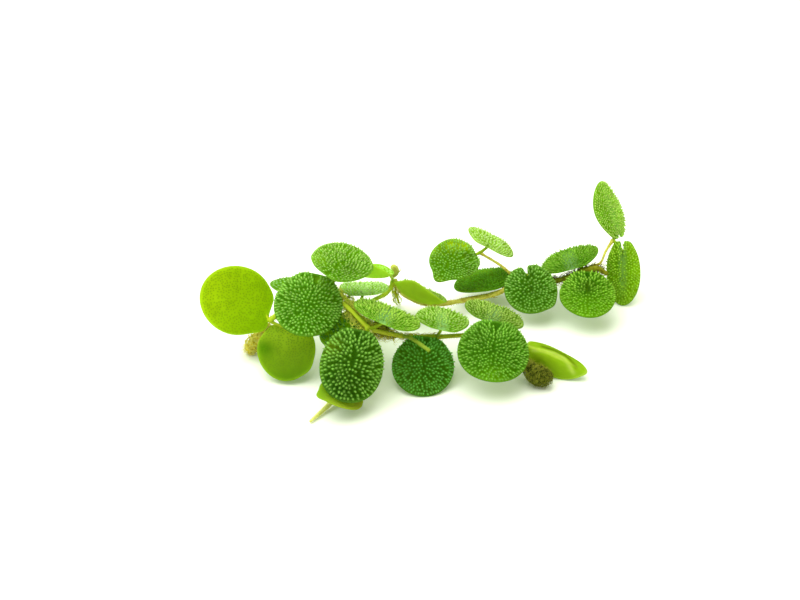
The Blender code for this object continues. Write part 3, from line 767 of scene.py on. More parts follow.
class LeafSkin(GroupPatch):
    """Skin of a blade: mottled ground, painted shade in the grooves between the hairs and under shade
    patches, a band along the midrib, a rim and dots.
    """

    CLOUD_SCALE, GRAIN_SCALE, WANDER_SCALE, WANDER = 4.5, 60.0, 9.0, 0.12
    DIM, SHADOW = {"Value": 0.3, "Saturation": 1.05}, {"Value": 0.36, "Saturation": 1.1}
    DEEP, LIGHT = {"Value": 0.82, "Saturation": 1.04}, {"Value": 1.16, "Hue": 0.494}
    SHADE_SHARE, BREADTH, DETAIL = -0.8, 0.5, 3.0
    CLOUDS, GRAINS, GROOVES, MARKS = (0.32, 0.68), (0.55, 0.8, 0.0, 0.3), (0.08, 0.5, 1.0, 0.0), (0.15, 0.85)
    BAND_EDGE, BAND_END, RIM_EDGE = (0.5, 1.3, 1.0, 0.0), (0.95, 0.6), (0.9, 1.0)
    SPOT_RELIEF, GRAIN_RELIEF, ROUGHNESS = 0.6, 0.4, (0.3, 0.7, 0.42, 0.56)

    def __init__(self) -> None:
        """Builds the group."""
        super().__init__("Leaf skin", {
            "Color": ("Ground", "Tone", "Mark", "Midrib Band", "Rim"), "Vector": ("Flat", "Trait"),
            "Float": ("Mark Strength", "Groove Shade Strength", "Midrib Band Strength", "Midrib Band Width", "Rim Strength",
                      "Cloud Strength")}, {"Color": ("Colour",), "Float": ("Relief", "Roughness")})
        given = self.given
        along, across, radius = self.axes(given["Flat"])
        _, spot, share = self.axes(given["Trait"])
        tone = self.maths("MAXIMUM", share, 0.0)
        # Painted shade where a patch's share is below zero: the skin darkens towards the DIM colour.
        shade = self.maths("MAXIMUM", self.maths("MULTIPLY", share, self.SHADE_SHARE), 0.0)
        half_across = self.maths("MULTIPLY", across, self.BREADTH)
        plane = self.node("CombineXYZ", {0: along, 1: half_across}).outputs[0]
        cloud = self.noise(plane, self.CLOUD_SCALE, self.DETAIL)
        grain = self.noise(plane, self.GRAIN_SCALE)
        base = self.blend(tone, given["Ground"], given["Tone"])
        base = self.blend(shade, base, self.toned(base, **self.DIM))
        light = self.toned(base, **self.LIGHT)
        skin = self.blend(self.between(cloud, *self.CLOUDS), self.toned(base, **self.DEEP), light)
        skin = self.blend(self.between(grain, *self.GRAINS), skin, light)
        skin = self.blend(given["Cloud Strength"], base, skin)
        # Painted shade in the grooves between the hairs, strongest farthest from a hair's foot.
        groove = self.maths("MULTIPLY", self.between(spot, *self.GROOVES), given["Groove Shade Strength"])
        skin = self.blend(groove, skin, self.toned(base, **self.SHADOW))
        wandering = self.maths("MULTIPLY_ADD", self.noise(plane, self.WANDER_SCALE), self.WANDER,
                               self.maths("ABSOLUTE", across))
        band = self.between(self.maths("DIVIDE", wandering, given["Midrib Band Width"]), *self.BAND_EDGE)
        band = self.maths("MULTIPLY", band, self.between(along, *self.BAND_END))
        # The midrib band: the waxy band above, and below the painted highlight along the midrib's ridge.
        for share, label in ((band, "Midrib Band"), (self.between(radius, *self.RIM_EDGE), "Rim"),
                             (self.between(spot, *self.MARKS), "Mark")):
            strength = self.maths("MULTIPLY", share, given[label + " Strength"])
            skin = self.blend(strength, skin, given[label])
        relief = self.maths("MULTIPLY_ADD", spot, self.SPOT_RELIEF,
                            self.maths("MULTIPLY", grain, self.GRAIN_RELIEF))
        self.put_out({"Colour": skin, "Relief": relief, "Roughness": self.between(cloud, *self.ROUGHNESS)})


class HairTint(GroupPatch):
    """Colour of a hair from its foot to its tip, a little different on each hair; where its share is above
    zero the foot takes the second colour, and where it is below zero the hair is darker, which on a leaf is
    painted shade.
    """

    DARKEST, SPREAD, SHADE = 0.83, 0.34, 0.45

    def __init__(self) -> None:
        """Builds the group."""
        super().__init__(
            "Hair tint", {"Color": ("Foot", "Tip", "Tone"), "Vector": ("Trait",), "Float": ("Start", "End")},
            {"Color": ("Colour",), "Float": ("Number",)})
        given = self.given
        height, share, number = self.axes(given["Trait"])
        span = self.between(height, given["Start"], given["End"])
        foot = self.blend(self.maths("MAXIMUM", share, 0.0), given["Foot"], given["Tone"])
        brightness = self.maths("MULTIPLY_ADD", self.maths("MINIMUM", share, 0.0), self.SHADE,
                                self.maths("MULTIPLY_ADD", number, self.SPREAD, self.DARKEST))
        tint = self.toned(self.blend(span, foot, given["Tip"]), Value=brightness)
        self.put_out({"Colour": tint, "Number": number})


class StemSkin(GroupPatch):
    """Skin of a stem: fine streaks along it, darker patches and a grain, and its far end darker."""

    STRETCH, STREAK_SCALE, CLOUD_SCALE, DETAIL = 0.35, 4.0, 1300.0, 3.0
    STREAKS, CLOUDS = (0.4, 0.75, 0.0, 0.55), (0.42, 0.7)
    NUMBER_SHARE, END_SHARE = 0.3, 0.5

    def __init__(self) -> None:
        """Builds the group."""
        super().__init__(
            "Stem skin",
            {"Color": ("Skin", "Dark"), "Vector": ("Flat", "Trait", "Place"), "Float": ("Patches",)},
            {"Color": ("Colour",), "Float": ("Relief",)})
        given = self.given
        run, turn, end = self.axes(given["Flat"])
        height, _, number = self.axes(given["Trait"])
        sine, cosine = (self.maths(operation, turn) for operation in ("SINE", "COSINE"))
        length = self.maths("MULTIPLY", run, self.STRETCH)
        stretched = self.node("CombineXYZ", {0: length, 1: sine, 2: cosine}).outputs[0]
        streaks = self.noise(stretched, self.STREAK_SCALE, self.DETAIL)
        clouds = self.noise(given["Place"], self.CLOUD_SCALE, self.DETAIL)
        share = self.maths("ADD", self.between(streaks, *self.STREAKS),
                           self.maths("MULTIPLY", self.between(clouds, *self.CLOUDS), given["Patches"]))
        share = self.maths("ADD", share, height)
        share = self.maths("ADD", share, self.maths("MULTIPLY", number, self.NUMBER_SHARE))
        share = self.maths("MINIMUM", share, 1.0)
        share = self.maths("MAXIMUM", share, self.maths("MULTIPLY", end, self.END_SHARE))
        self.put_out({"Colour": self.blend(share, given["Skin"], given["Dark"]), "Relief": streaks})


class SkinGroups:
    """The node groups that the plant's materials share."""

    def __init__(self) -> None:
        """Builds each group once."""
        self.leaf = LeafSkin().tree
        self.hair = HairTint().tree
        self.stem = StemSkin().tree


class MaterialPatch(Patch):
    """Adds the nodes of one material, and gives the two values that its points carry."""

    BUMP_STRENGTH = 0.5

    def __init__(self, name: str) -> None:
        """Starts the material.

        Args:
            name: Its name.
        """
        self.material = bpy.data.materials.new(name)
        self.material.use_nodes = True
        super().__init__(self.material.node_tree)
        self.tree.nodes.clear()
        self.flat = self.node("Attribute", attribute_name="flat").outputs["Vector"]
        self.trait = self.node("Attribute", attribute_name="trait").outputs["Vector"]

    def close(self, colour: Socket, glow: Socket, through: float, roughness: Socket | float, specular: float,
              relief: Socket | None = None, depth: float = 0.0) -> Material:
        """Ends the material with a surface that also lets some light through.

        Args:
            colour: Colour of the surface.
            glow: Colour of the light that comes through.
            through: Share of the light that comes through.
            roughness: Roughness of the surface.
            specular: Strength of the shine.
            relief: Fine height of the surface.
            depth: Height of that relief, in metres.

        Returns:
            The material.
        """
        inputs = {"Base Color": colour, "Roughness": roughness, "Specular IOR Level": specular}
        if relief is not None:
            bump = self.node("Bump", {"Height": relief, "Distance": depth, "Strength": self.BUMP_STRENGTH})
            inputs["Normal"] = bump.outputs[0]
        surface = self.node("BsdfPrincipled", inputs).outputs[0]
        light = self.node("BsdfTranslucent", {"Color": glow}).outputs[0]
        both = self.node("MixShader", {0: through, 1: surface, 2: light})
        self.node("OutputMaterial", {"Surface": both.outputs[0]})
        return self.material


@dataclass(frozen=True)
class BladeFinish:
    """Finish of one side of a blade: its colours and strengths, by the names of the leaf skin's inputs.

    Through is the share of light that comes through, and glow how much of that light is yellow-green.
    """

    name: str
    colours: dict[str, Colour]
    strengths: dict[str, float]
    through: float
    glow: float

    GLOW_COLOUR, SPECULAR, RELIEF_DEPTH = (0.8, 1.0, 0.04), 0.03, 0.00008

    def material(self, groups: SkinGroups) -> Material:
        """Makes the material from the shared groups.

        Args:
            groups: The shared groups.

        Returns:
            The material.
        """
        patch = MaterialPatch(self.name)
        inputs = {**self.colours, **self.strengths, "Flat": patch.flat, "Trait": patch.trait}
        skin = patch.node("Group", inputs, node_tree=groups.leaf).outputs
        glow = patch.blend(self.glow, skin["Colour"], self.GLOW_COLOUR)
        return patch.close(skin["Colour"], glow, self.through, skin["Roughness"], self.SPECULAR,
                           skin["Relief"], self.RELIEF_DEPTH)


@dataclass(frozen=True)
class HairFinish:
    """Finish of the hairs of one piece, from foot to tip; tone is the second colour of the foot.

    The tip's colour starts to show at the height start and is full at the height end. Through is the share of
    light that comes through.
    """

    name: str
    foot: Colour
    tip: Colour
    tone: Colour
    start: float = 0.1
    end: float = 0.85
    through: float = 0.45

    SPECULAR, SMOOTHEST, SPREAD = 0.04, 0.35, 0.2

    def material(self, groups: SkinGroups) -> Material:
        """Makes the material from the shared groups.

        Args:
            groups: The shared groups.

        Returns:
            The material.
        """
        patch = MaterialPatch(self.name)
        inputs = {"Foot": self.foot, "Tip": self.tip, "Tone": self.tone, "Start": self.start, "End": self.end,
                  "Trait": patch.trait}
        tint = patch.node("Group", inputs, node_tree=groups.hair).outputs
        roughness = patch.maths("MULTIPLY_ADD", tint["Number"], self.SPREAD, self.SMOOTHEST)
        return patch.close(tint["Colour"], tint["Colour"], self.through, roughness, self.SPECULAR)


@dataclass(frozen=True)
class StemFinish:
    """Finish of a stem, stalk or filament: its skin, and the dark colour of its streaks and patches.

    Patches is the strength of the patches, and through the share of light that comes through.
    """

    name: str
    skin: Colour
    dark: Colour
    patches: float = 0.5
    through: float = 0.2

    ROUGHNESS, SPECULAR, RELIEF_DEPTH = 0.42, 0.06, 0.00006

    def material(self, groups: SkinGroups) -> Material:
        """Makes the material from the shared groups.

        Args:
            groups: The shared groups.

        Returns:
            The material.
        """
        patch = MaterialPatch(self.name)
        inputs = {"Skin": self.skin, "Dark": self.dark, "Patches": self.patches, "Flat": patch.flat,
                  "Trait": patch.trait, "Place": patch.node("TexCoord").outputs["Object"]}
        bark = patch.node("Group", inputs, node_tree=groups.stem).outputs
        return patch.close(bark["Colour"], bark["Colour"], self.through, self.ROUGHNESS, self.SPECULAR,
                           bark["Relief"], self.RELIEF_DEPTH)


def bend_table(angle_of: Callable[[np.ndarray], np.ndarray], reach: float,
               samples: int = 160) -> tuple[np.ndarray, np.ndarray, np.ndarray]:
    """Arc length, run and rise along a curve.

    Args:
        angle_of: Slope angle of the curve at an arc length.
        reach: Length of the curve.
        samples: Number of points in the table.

    Returns:
        The three columns of the table.
    """
    arc = np.linspace(0.0, reach, samples)
    middle = 0.5 * (arc[1:] + arc[:-1])
    step = arc[1] - arc[0]
    run = np.concatenate([[0.0], np.cumsum(np.cos(angle_of(middle)))]) * step
    rise = np.concatenate([[0.0], np.cumsum(np.sin(angle_of(middle)))]) * step
    return arc, run, rise


def hump(distance: np.ndarray, spread: float) -> np.ndarray:
    """One at no distance, falling smoothly to none over about twice the spread."""
    return np.exp(-((distance / spread) ** 2))


class BentBlade:
    """Carries points of the flat blade to their places on the bent and posed leaf, in millimetres."""

    WAVES = 3
    LOBE_TRIM, LOBE_PLACE, LOBE_SPREAD = 0.03, 0.45, 0.25
    BASE_BREADTH = 0.05
    RING_CENTRE = 0.8
    CORNER_SPREAD = 0.28
    SIDE_REACH = 0.8

    def __init__(self, leaf: Leaf) -> None:
        """Prepares the leaf's bend and pose.

        Args:
            leaf: The leaf.
        """
        self.leaf = leaf
        self.middle = (0.5 - leaf.notch) * leaf.length
        fold, cup, self.bend = (math.radians(value) for value in (leaf.fold, leaf.cup, leaf.bend))
        self.side_angle = lambda s: fold * (1 - np.exp(-s / leaf.crease)) + cup * s / (0.5 * leaf.width)
        self.side = bend_table(self.side_angle, self.SIDE_REACH * leaf.width)
        back = -0.5 * leaf.length
        arc, run, rise = bend_table(lambda s: self.mid_angle(s + back), 2.0 * leaf.length)
        self.midrib = (arc + back, run - np.interp(-back, arc, run), rise - np.interp(-back, arc, rise))
        heading, pitch, roll = (Matrix.Rotation(math.radians(angle), 3, axis) for angle, axis in
                                ((leaf.heading, "Z"), (-leaf.pitch, "Y"), (leaf.roll, "X")))
        self.pose = np.array(heading @ pitch @ roll)
        self.start = self.RING_CENTRE * self.middle

    def mid_angle(self, along: np.ndarray) -> np.ndarray:
        """Slope of the midrib; it is level at the middle of the blade."""
        return self.bend * (along - self.middle) / self.leaf.length

    def reach(self, along: np.ndarray, across: np.ndarray) -> np.ndarray:
        """How far out flat points are, from 0 at the middle of the blade to about 1 at its margin."""
        leaf = self.leaf
        return np.hypot(2 * (along / leaf.length - 0.5 + leaf.notch), 2 * across / leaf.width)

    def unrolled(self, along: np.ndarray, across: np.ndarray, radius: np.ndarray) -> np.ndarray:
        """Places for the materials: along from 0 to 1, across from -1 to 1, and how far out."""
        leaf = self.leaf
        return np.stack([along / leaf.length + leaf.notch, 2 * across / leaf.width, radius], axis=1)

    def place(self, along: np.ndarray, across: np.ndarray, lift: np.ndarray | float = 0.0) -> np.ndarray:
        """Places of blade points, lifted off the underside towards the hairy side.

        Args:
            along: Distance from the foot of the notch towards the tip.
            across: Distance from the midrib.
            lift: Height over the underside.

        Returns:
            The places, in millimetres of the tables.
        """
        leaf = self.leaf
        along, across = np.asarray(along, float), np.asarray(across, float)
        sideways = np.abs(across)
        slope = self.side_angle(sideways)
        outward = np.interp(sideways, self.side[0], self.side[1]) - np.sin(slope) * lift
        height = np.interp(sideways, self.side[0], self.side[2]) + np.cos(slope) * lift
        turn = np.arctan2(across, along - self.middle)
        wave = np.sin(self.WAVES * turn + leaf.length * leaf.width)
        height = height + leaf.wave * self.reach(along, across)**3 * wave
        angle = self.mid_angle(along)
        forward = np.interp(along, self.midrib[0], self.midrib[1]) - np.sin(angle) * height
        upward = np.interp(along, self.midrib[0], self.midrib[2]) + np.cos(angle) * height
        local = np.stack([forward, np.copysign(outward, across), upward], axis=-1)
        return np.array(leaf.base) + local @ self.pose.T

    def margin(self, turn: np.ndarray) -> tuple[np.ndarray, np.ndarray]:
        """Flat margin points at angles round the blade: 0 at the tip, 180 degrees in the notch.

        Args:
            turn: The angles.

        Returns:
            Distance along and across the blade of each point.
        """
        leaf = self.leaf
        turn = np.asarray(turn, float)
        from_notch = math.pi - np.abs(turn)
        along = 0.5 * leaf.length * (1 + np.cos(turn)) - leaf.notch * leaf.length
        if leaf.gap:
            along = along + leaf.notch * leaf.length * hump(from_notch, leaf.slit * leaf.gap)
        along = along - self.LOBE_TRIM * leaf.length * hump(from_notch - self.LOBE_PLACE, self.LOBE_SPREAD)
        across = 0.5 * leaf.width * np.sin(turn) * (1 - self.BASE_BREADTH * np.cos(turn))
        aside = (turn - math.radians(leaf.corner_turn) + math.pi) % (2 * math.pi) - math.pi
        bulge = 1 + leaf.corner * hump(aside, self.CORNER_SPREAD)
        return self.middle + (along - self.middle) * bulge, across * bulge

    def inside(self, turn: np.ndarray, fraction: np.ndarray) -> tuple[np.ndarray, np.ndarray]:
        """Flat points between the middle of the rings, at fraction 0, and the margin, at 1."""
        along, across = self.margin(turn)
        return self.start + (along - self.start) * fraction, across * fraction

    def upright(self, along: np.ndarray, across: np.ndarray) -> np.ndarray:
        """Direction off the hairy side."""
        return unit(self.place(along, across, 1.0) - self.place(along, across, 0.0))


Finish = BladeFinish | HairFinish | StemFinish


@dataclass
class PlantPiece:
    """What the makers of all pieces share: the materials' groups, and a source of chance."""

    groups: SkinGroups
    chance: np.random.Generator

    def finish(self, draft: Draft, node: str, form: str, finishes: list[Finish],
               replaces: bool = True) -> bpy.types.Object:
        """Builds a piece, and gives it the record's slot of the CAD node that it covers.

        Args:
            draft: The piece's mesh.
            node: Name of the CAD node that the piece covers.
            form: What the piece is, the end of its name.
            finishes: Finish of each of its surfaces.
            replaces: Whether it stands for the node.

        Returns:
            The piece.
        """
        piece = draft.build(f"{node}_{form}", [finish.material(self.groups) for finish in finishes])
        if replaces:
            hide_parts(node)
        return piece


@dataclass
class LeafPiece(PlantPiece):
    """One leaf of the plant: blade, stalk and water-repelling hairs.

    Lengths are in millimetres. Rows of hairs fan out from the midrib; their jitter and the least distance
    between two are shares of their spacing, and so are a hair's width and the spot at its foot.
    """

    leaf: Leaf
    blade_thickness: float = 0.34
    mesh: tuple[int, int] = (120, 30)
    fine_mesh: tuple[int, int] = (220, 64)
    ring_crowding: float = 0.85
    rim_sharpness: int = 12
    rim_under: float = 0.45
    rim_upper: float = 0.55
    mound: float = 0.2
    under_mound: float = 0.03
    rib_width: float = 0.32
    rib_start: float = -0.2
    seam: float = 0.14
    seam_width: float = 0.16
    notch_mouth: float = 1.9
    least_gap: float = 0.3
    notch_steps: tuple[float, ...] = (-0.62, -0.3, 0.0, 0.3, 0.62)
    stalk_radius: float = 0.36
    stalk_sides: int = 9
    stalk_step: float = 0.35
    stalk_ends: tuple[float, float] = (-0.5, 0.6)
    stalk_lifts: tuple[float, float] = (-0.15, 0.06)
    stalk_lifts_below: tuple[float, float] = (0.4, 0.24)
    stalk_taper: tuple[tuple[float, ...], ...] = ((0.0, 0.12, 0.7, 1.0), (1.2, 0.9, 0.75, 0.2))
    row_inset: float = 0.95
    bare_inset: float = 1.5
    row_mouth: float = 2.2
    row_start: tuple[float, float] = (0.9, 1.3)
    least_start: float = 0.02
    midrib_gap: float = 0.12
    bow: float = 0.07
    closeness: float = 0.76
    unevenness: float = 0.11
    spot_width: float = 0.42
    fine_spot_width: float = 0.36
    tone_slope: float = 0.6
    stoutness: float = 0.95
    probe: float = 0.2
    least_lean: float = 0.15
    rim_lean: float = 1.5
    stray: float = 0.09
    hair_heights: tuple[float, float] = (0.86, 1.1)
    low_at_midrib: tuple[tuple[float, float], ...] = ((0.0, 1.2), (0.72, 1.0))
    low_at_rim: tuple[tuple[float, float], ...] = ((0.4, 1.0), (1.0, 0.5))
    foot_share: float = 0.4
    mark_share: float = 0.36
    rim_share: float = 0.4
    wax: Colour = seen(196, 232, 180)
    wax_share: float = 0.5
    dot: Colour = (0.0, 0.14, 0.0)
    dot_share: float = 0.6
    # Colour of the painted highlight along the midrib below, and how much of it shows.
    vein_highlight: Colour = seen(236, 250, 110)
    vein_highlight_share: float = 0.8
    pale: Colour = seen(220, 240, 110)
    least_pale: float = 0.3
    vein_highlight_pale: float = 0.5
    straw: Colour = seen(190, 196, 50)
    straw_share: float = 0.35
    brown: Colour = seen(130, 130, 20)
    brown_share: float = 0.5
    shape: BentBlade = field(init=False)
    spots: np.ndarray = field(init=False)

    def __post_init__(self) -> None:
        """Works out where the hairs stand."""
        self.shape = BentBlade(self.leaf)
        self.spots = self.hair_spots()

    def hair_spots(self) -> np.ndarray:
        """Flat places of the hairs: rows that fan out from the midrib and run back into the lobes.

        Returns:
            Place along and across the blade of each hair.
        """
        leaf = self.leaf
        rows = round(math.pi * (leaf.length + leaf.width) / 4 / leaf.spacing)
        inset = self.row_inset if leaf.lean else self.bare_inset
        jitter = self.unevenness * leaf.spacing * (2 if leaf.fine else 1)
        candidates = []
        for side in (-1, 1):
            for row in range(rows):
                share = (row + 0.5) / rows
                end = np.stack(self.shape.margin(side * share * (math.pi - self.row_mouth * leaf.slit)))
                start_share = max(self.least_start, self.row_start[0] - self.row_start[1] * share)
                origin = np.array(((1 - leaf.notch) * leaf.length * start_share, side * self.midrib_gap))
                span = np.linalg.norm(end - origin)
                sideways = np.array((end - origin)[::-1]) * (-side, side) / span
                for step in range(int(span / leaf.spacing) + 1):
                    part = 1 - (step + inset) * leaf.spacing / span
                    if part < 0:
                        continue
                    bow = self.bow * span * math.sin(math.pi * part)
                    spot = origin + (end - origin) * part + sideways * bow
                    candidates.append((step, *(spot + self.chance.normal(0, jitter, 2))))
        candidates.sort(key=lambda candidate: candidate[0])
        least = (self.closeness * leaf.spacing) ** 2
        kept: list[np.ndarray] = []
        for _, along, across in candidates:
            spot = np.array((along, across))
            if not kept or np.min(np.sum((np.array(kept) - spot) ** 2, axis=1)) > least:
                kept.append(spot)
        return np.array(kept)

    def spot_strength(self, along: np.ndarray, across: np.ndarray) -> np.ndarray:
        """How near each flat point is to the foot of a hair, from 0 to 1.

        Args:
            along: Distance of each from the foot of the notch towards the tip.
            across: Distance of each from the midrib.

        Returns:
            Strength of the spot at each, from 0 to 1.
        """
        points = np.stack([along, across], axis=-1).reshape(-1, 2)
        nearest = np.full(len(points), np.inf)
        for spot in self.spots:
            nearest = np.minimum(nearest, np.sum((points - spot) ** 2, axis=1))
        width = self.fine_spot_width if self.leaf.fine else self.spot_width
        return np.exp(-nearest / (width * self.leaf.spacing) ** 2).reshape(along.shape)

    def tint_at(self, along: np.ndarray, across: np.ndarray) -> np.ndarray:
        """Share of the second colour at each flat point, from 0 to 1, or of shade, down to -1.

        Args:
            along: Distance of each from the foot of the notch towards the tip.
            across: Distance of each from the midrib.

        Returns:
            Share of the second colour at each, or of shade where it is below zero.
        """
        leaf = self.leaf
        turn = math.radians(leaf.tone_turn)
        forward = 2 * (along / leaf.length - 0.5 + leaf.notch)
        slope = forward * math.cos(turn) + 2 * across / leaf.width * math.sin(turn)
        share = np.clip(leaf.tone_share + self.tone_slope * slope, 0, 1) * (leaf.tone is not None)
        for place_along, place_across, size, strength in leaf.patches:
            distance = (along - place_along) ** 2 + (across - place_across) ** 2
            share = share + strength * np.exp(-distance / size**2)
        return np.clip(share, -1, 1)

    def add_sheets(self, draft: Draft) -> None:
        """Adds the two sides of the blade, joined at a rounded rim.

        Args:
            draft: Mesh under way.
        """
        leaf, shape = self.leaf, self.shape
        sectors, rings = self.fine_mesh if leaf.fine else self.mesh
        mouth = self.notch_mouth * leaf.slit * max(leaf.gap, self.least_gap)
        notch = np.pi + mouth * np.array(self.notch_steps)
        turns = np.concatenate([np.linspace(-math.pi + mouth, math.pi - mouth, sectors), notch])
        turns = (turns + math.pi) % (2 * math.pi) - math.pi
        count = len(turns)
        fractions = np.linspace(0.0, 1.0, rings + 1)[1:] ** self.ring_crowding
        along, across = shape.inside(turns[None], fractions[:, None])
        spot = self.spot_strength(along, across)
        rim = fractions[:, None] ** self.rim_sharpness
        groove = hump(across, self.rib_width) * (along > self.rib_start)
        groove = leaf.rib * groove * np.clip(1 - along / leaf.length, 0, 1)
        seam = self.seam * hump(across, self.seam_width) * (along < 0)
        upper_lift = (self.mound * spot - seam) * (1 - rim) - groove
        upper_lift = upper_lift + self.blade_thickness * (1 - self.rim_upper * rim)
        under_lift = self.under_mound * spot * (1 - rim) - groove
        under_lift = under_lift + self.blade_thickness * self.rim_under * rim
        along, across = np.append(along.ravel(), shape.start), np.append(across.ravel(), 0.0)
        radius = np.append(np.repeat(fractions, count), 0.0)
        flat = shape.unrolled(along, across, radius)
        traits = (np.zeros(len(radius)), np.append(spot.ravel(), 0.0), self.tint_at(along, across))
        quads = np.roll(ring_quads(rings, count)[:, ::-1], 1, axis=1)
        for surface, lift, at_middle in ((LeafSurface.UPPER, upper_lift, self.blade_thickness - leaf.rib),
                                         (LeafSurface.UNDER, under_lift, -leaf.rib)):
            order = slice(None) if surface is LeafSurface.UPPER else slice(None, None, -1)
            points = shape.place(along, across, np.append(lift.ravel(), at_middle))
            first = draft.add_points(points, flat, np.stack(traits, axis=1))
            for faces in (quads, fan(0, count, rings * count)):
                draft.add_faces(faces[:, order] + first, surface)
        self.weld_rim(draft, count, rings)

    @staticmethod
    def weld_rim(draft: Draft, count: int, rings: int) -> None:
        """Joins the margins of the two sides, which lie in the same places, into one.

        Args:
            draft: Mesh under way, whose last points are the two sides'.
            count: Number of points round the blade.
            rings: Number of rings in each side.
        """
        each = count * rings + 1
        first_upper = draft.count - 2 * each + (rings - 1) * count
        first_under = draft.count - each + (rings - 1) * count
        moved = {first_under + index: first_upper + index for index in range(count)}
        draft.faces = [[moved.get(corner, corner) for corner in face] for face in draft.faces]

    def add_stalk(self, draft: Draft) -> None:
        """Adds the stalk, from its joint on the stem into the underside of the blade.

        Args:
            draft: Mesh under way.
        """
        leaf = self.leaf
        lifts = self.stalk_lifts_below if leaf.from_below else self.stalk_lifts
        ends = [self.shape.place(along, 0.0, lift) for along, lift in zip(self.stalk_ends, lifts)]
        path = smooth_route([JOINTS[leaf.node], *leaf.stalk_via, *ends], self.stalk_step)
        radii = self.stalk_radius * np.interp(np.linspace(0.0, 1.0, len(path)), *self.stalk_taper)
        Tube(path, radii).add_to(draft, self.stalk_sides, LeafSurface.STALK)

    def add_coat(self, draft: Draft) -> None:
        """Adds the hairs of the upper side, leaning outward and shorter near the margin.

        Args:
            draft: Mesh under way.
        """
        leaf, shape = self.leaf, self.shape
        along, across = self.spots.T
        upright = shape.upright(along, across)
        away = self.probe * unit(self.spots - np.array((shape.start, 0.0)))
        ahead = shape.place(along + away[:, 0], across + away[:, 1])
        outward = unit(ahead - shape.place(along, across))
        reach = shape.reach(along, across)
        lean = leaf.lean * outward * (self.least_lean + self.rim_lean * np.clip(reach, 0, 1.0) ** 2)[:, None]
        lean = lean + self.chance.normal(0, self.stray, lean.shape)
        heights = leaf.hair_height * self.chance.uniform(*self.hair_heights, len(along))
        heights = heights * np.interp(np.abs(across), *self.low_at_midrib)
        heights = heights * np.interp(reach, *self.low_at_rim)
        feet, flat = shape.place(along, across, self.blade_thickness), shape.unrolled(along, across, reach)
        draft.add_hairs(HairForm.papilla(), feet, upright, lean, heights, self.stoutness * leaf.spacing,
                        LeafSurface.UPPER, self.chance, flat, self.tint_at(along, across))

    def blade_finishes(self) -> list[Finish]:
        """Finishes of the blade's upper side, its underside and its stalk, in the order of LeafSurface.

        Returns:
            The three finishes.
        """
        leaf = self.leaf
        tone_above, tone_below = (None, leaf.tone) if leaf.from_below else (leaf.tone, None)
        upper = {"Ground": leaf.ground, "Tone": tone_above or leaf.ground,
                 "Mark": mixed(leaf.ground, leaf.hair, self.mark_share),
                 "Rim": mixed(leaf.ground, leaf.hair, self.rim_share),
                 "Midrib Band": mixed(leaf.ground, self.wax, self.wax_share)}
        # Below, the midrib band is the painted highlight along the midrib's ridge, and the rim grows paler
        # with it.
        pale_share = self.least_pale + self.vein_highlight_pale * leaf.vein_highlight
        under = {"Ground": leaf.under, "Tone": tone_below or leaf.under,
                 "Mark": mixed(leaf.under, self.dot, self.dot_share),
                 "Midrib Band": mixed(leaf.under, self.vein_highlight, self.vein_highlight_share),
                 "Rim": mixed(leaf.under, self.pale, pale_share)}
        above = {"Mark Strength": 0.8, "Groove Shade Strength": 0.75, "Midrib Band Strength": leaf.band, "Midrib Band Width": 0.3,
                 "Rim Strength": 0.7, "Cloud Strength": 0.9}
        below = {"Mark Strength": leaf.dots, "Groove Shade Strength": 0.0, "Midrib Band Strength": leaf.vein_highlight,
                 "Midrib Band Width": 0.13, "Rim Strength": 0.35 + leaf.vein_highlight, "Cloud Strength": 0.25}
        stalk = mixed(leaf.under, self.straw, self.straw_share)
        dark = mixed(stalk, self.brown, self.brown_share)
        return [BladeFinish(leaf.name + "_upper", upper, above, through=0.5, glow=leaf.glow),
                BladeFinish(leaf.name + "_under", under, below, through=0.7, glow=0.55),
                StemFinish(leaf.name + "_stalk", stalk, dark, patches=0.3, through=0.3)]

    def hair_finish(self) -> HairFinish:
        """Finish of the hairs, whose feet are nearly as dark as the skin.

        Returns:
            The finish.
        """
        leaf = self.leaf
        foot, tone = (mixed(colour, leaf.hair, self.foot_share)
                      for colour in (leaf.ground, leaf.tone or leaf.ground))
        return HairFinish(leaf.name + "_hair", foot, leaf.hair, tone)

    def build(self) -> list[bpy.types.Object]:
        """Builds the blade with its stalk, and the coat of hairs.

        Returns:
            The two pieces.
        """
        blade, coat = Draft(), Draft()
        self.add_sheets(blade)
        self.add_stalk(blade)
        self.add_coat(coat)
        return [self.finish(blade, self.leaf.name, "blade", self.blade_finishes()),
                self.finish(coat, self.leaf.name, "hairs", [self.hair_finish()], replaces=False)]


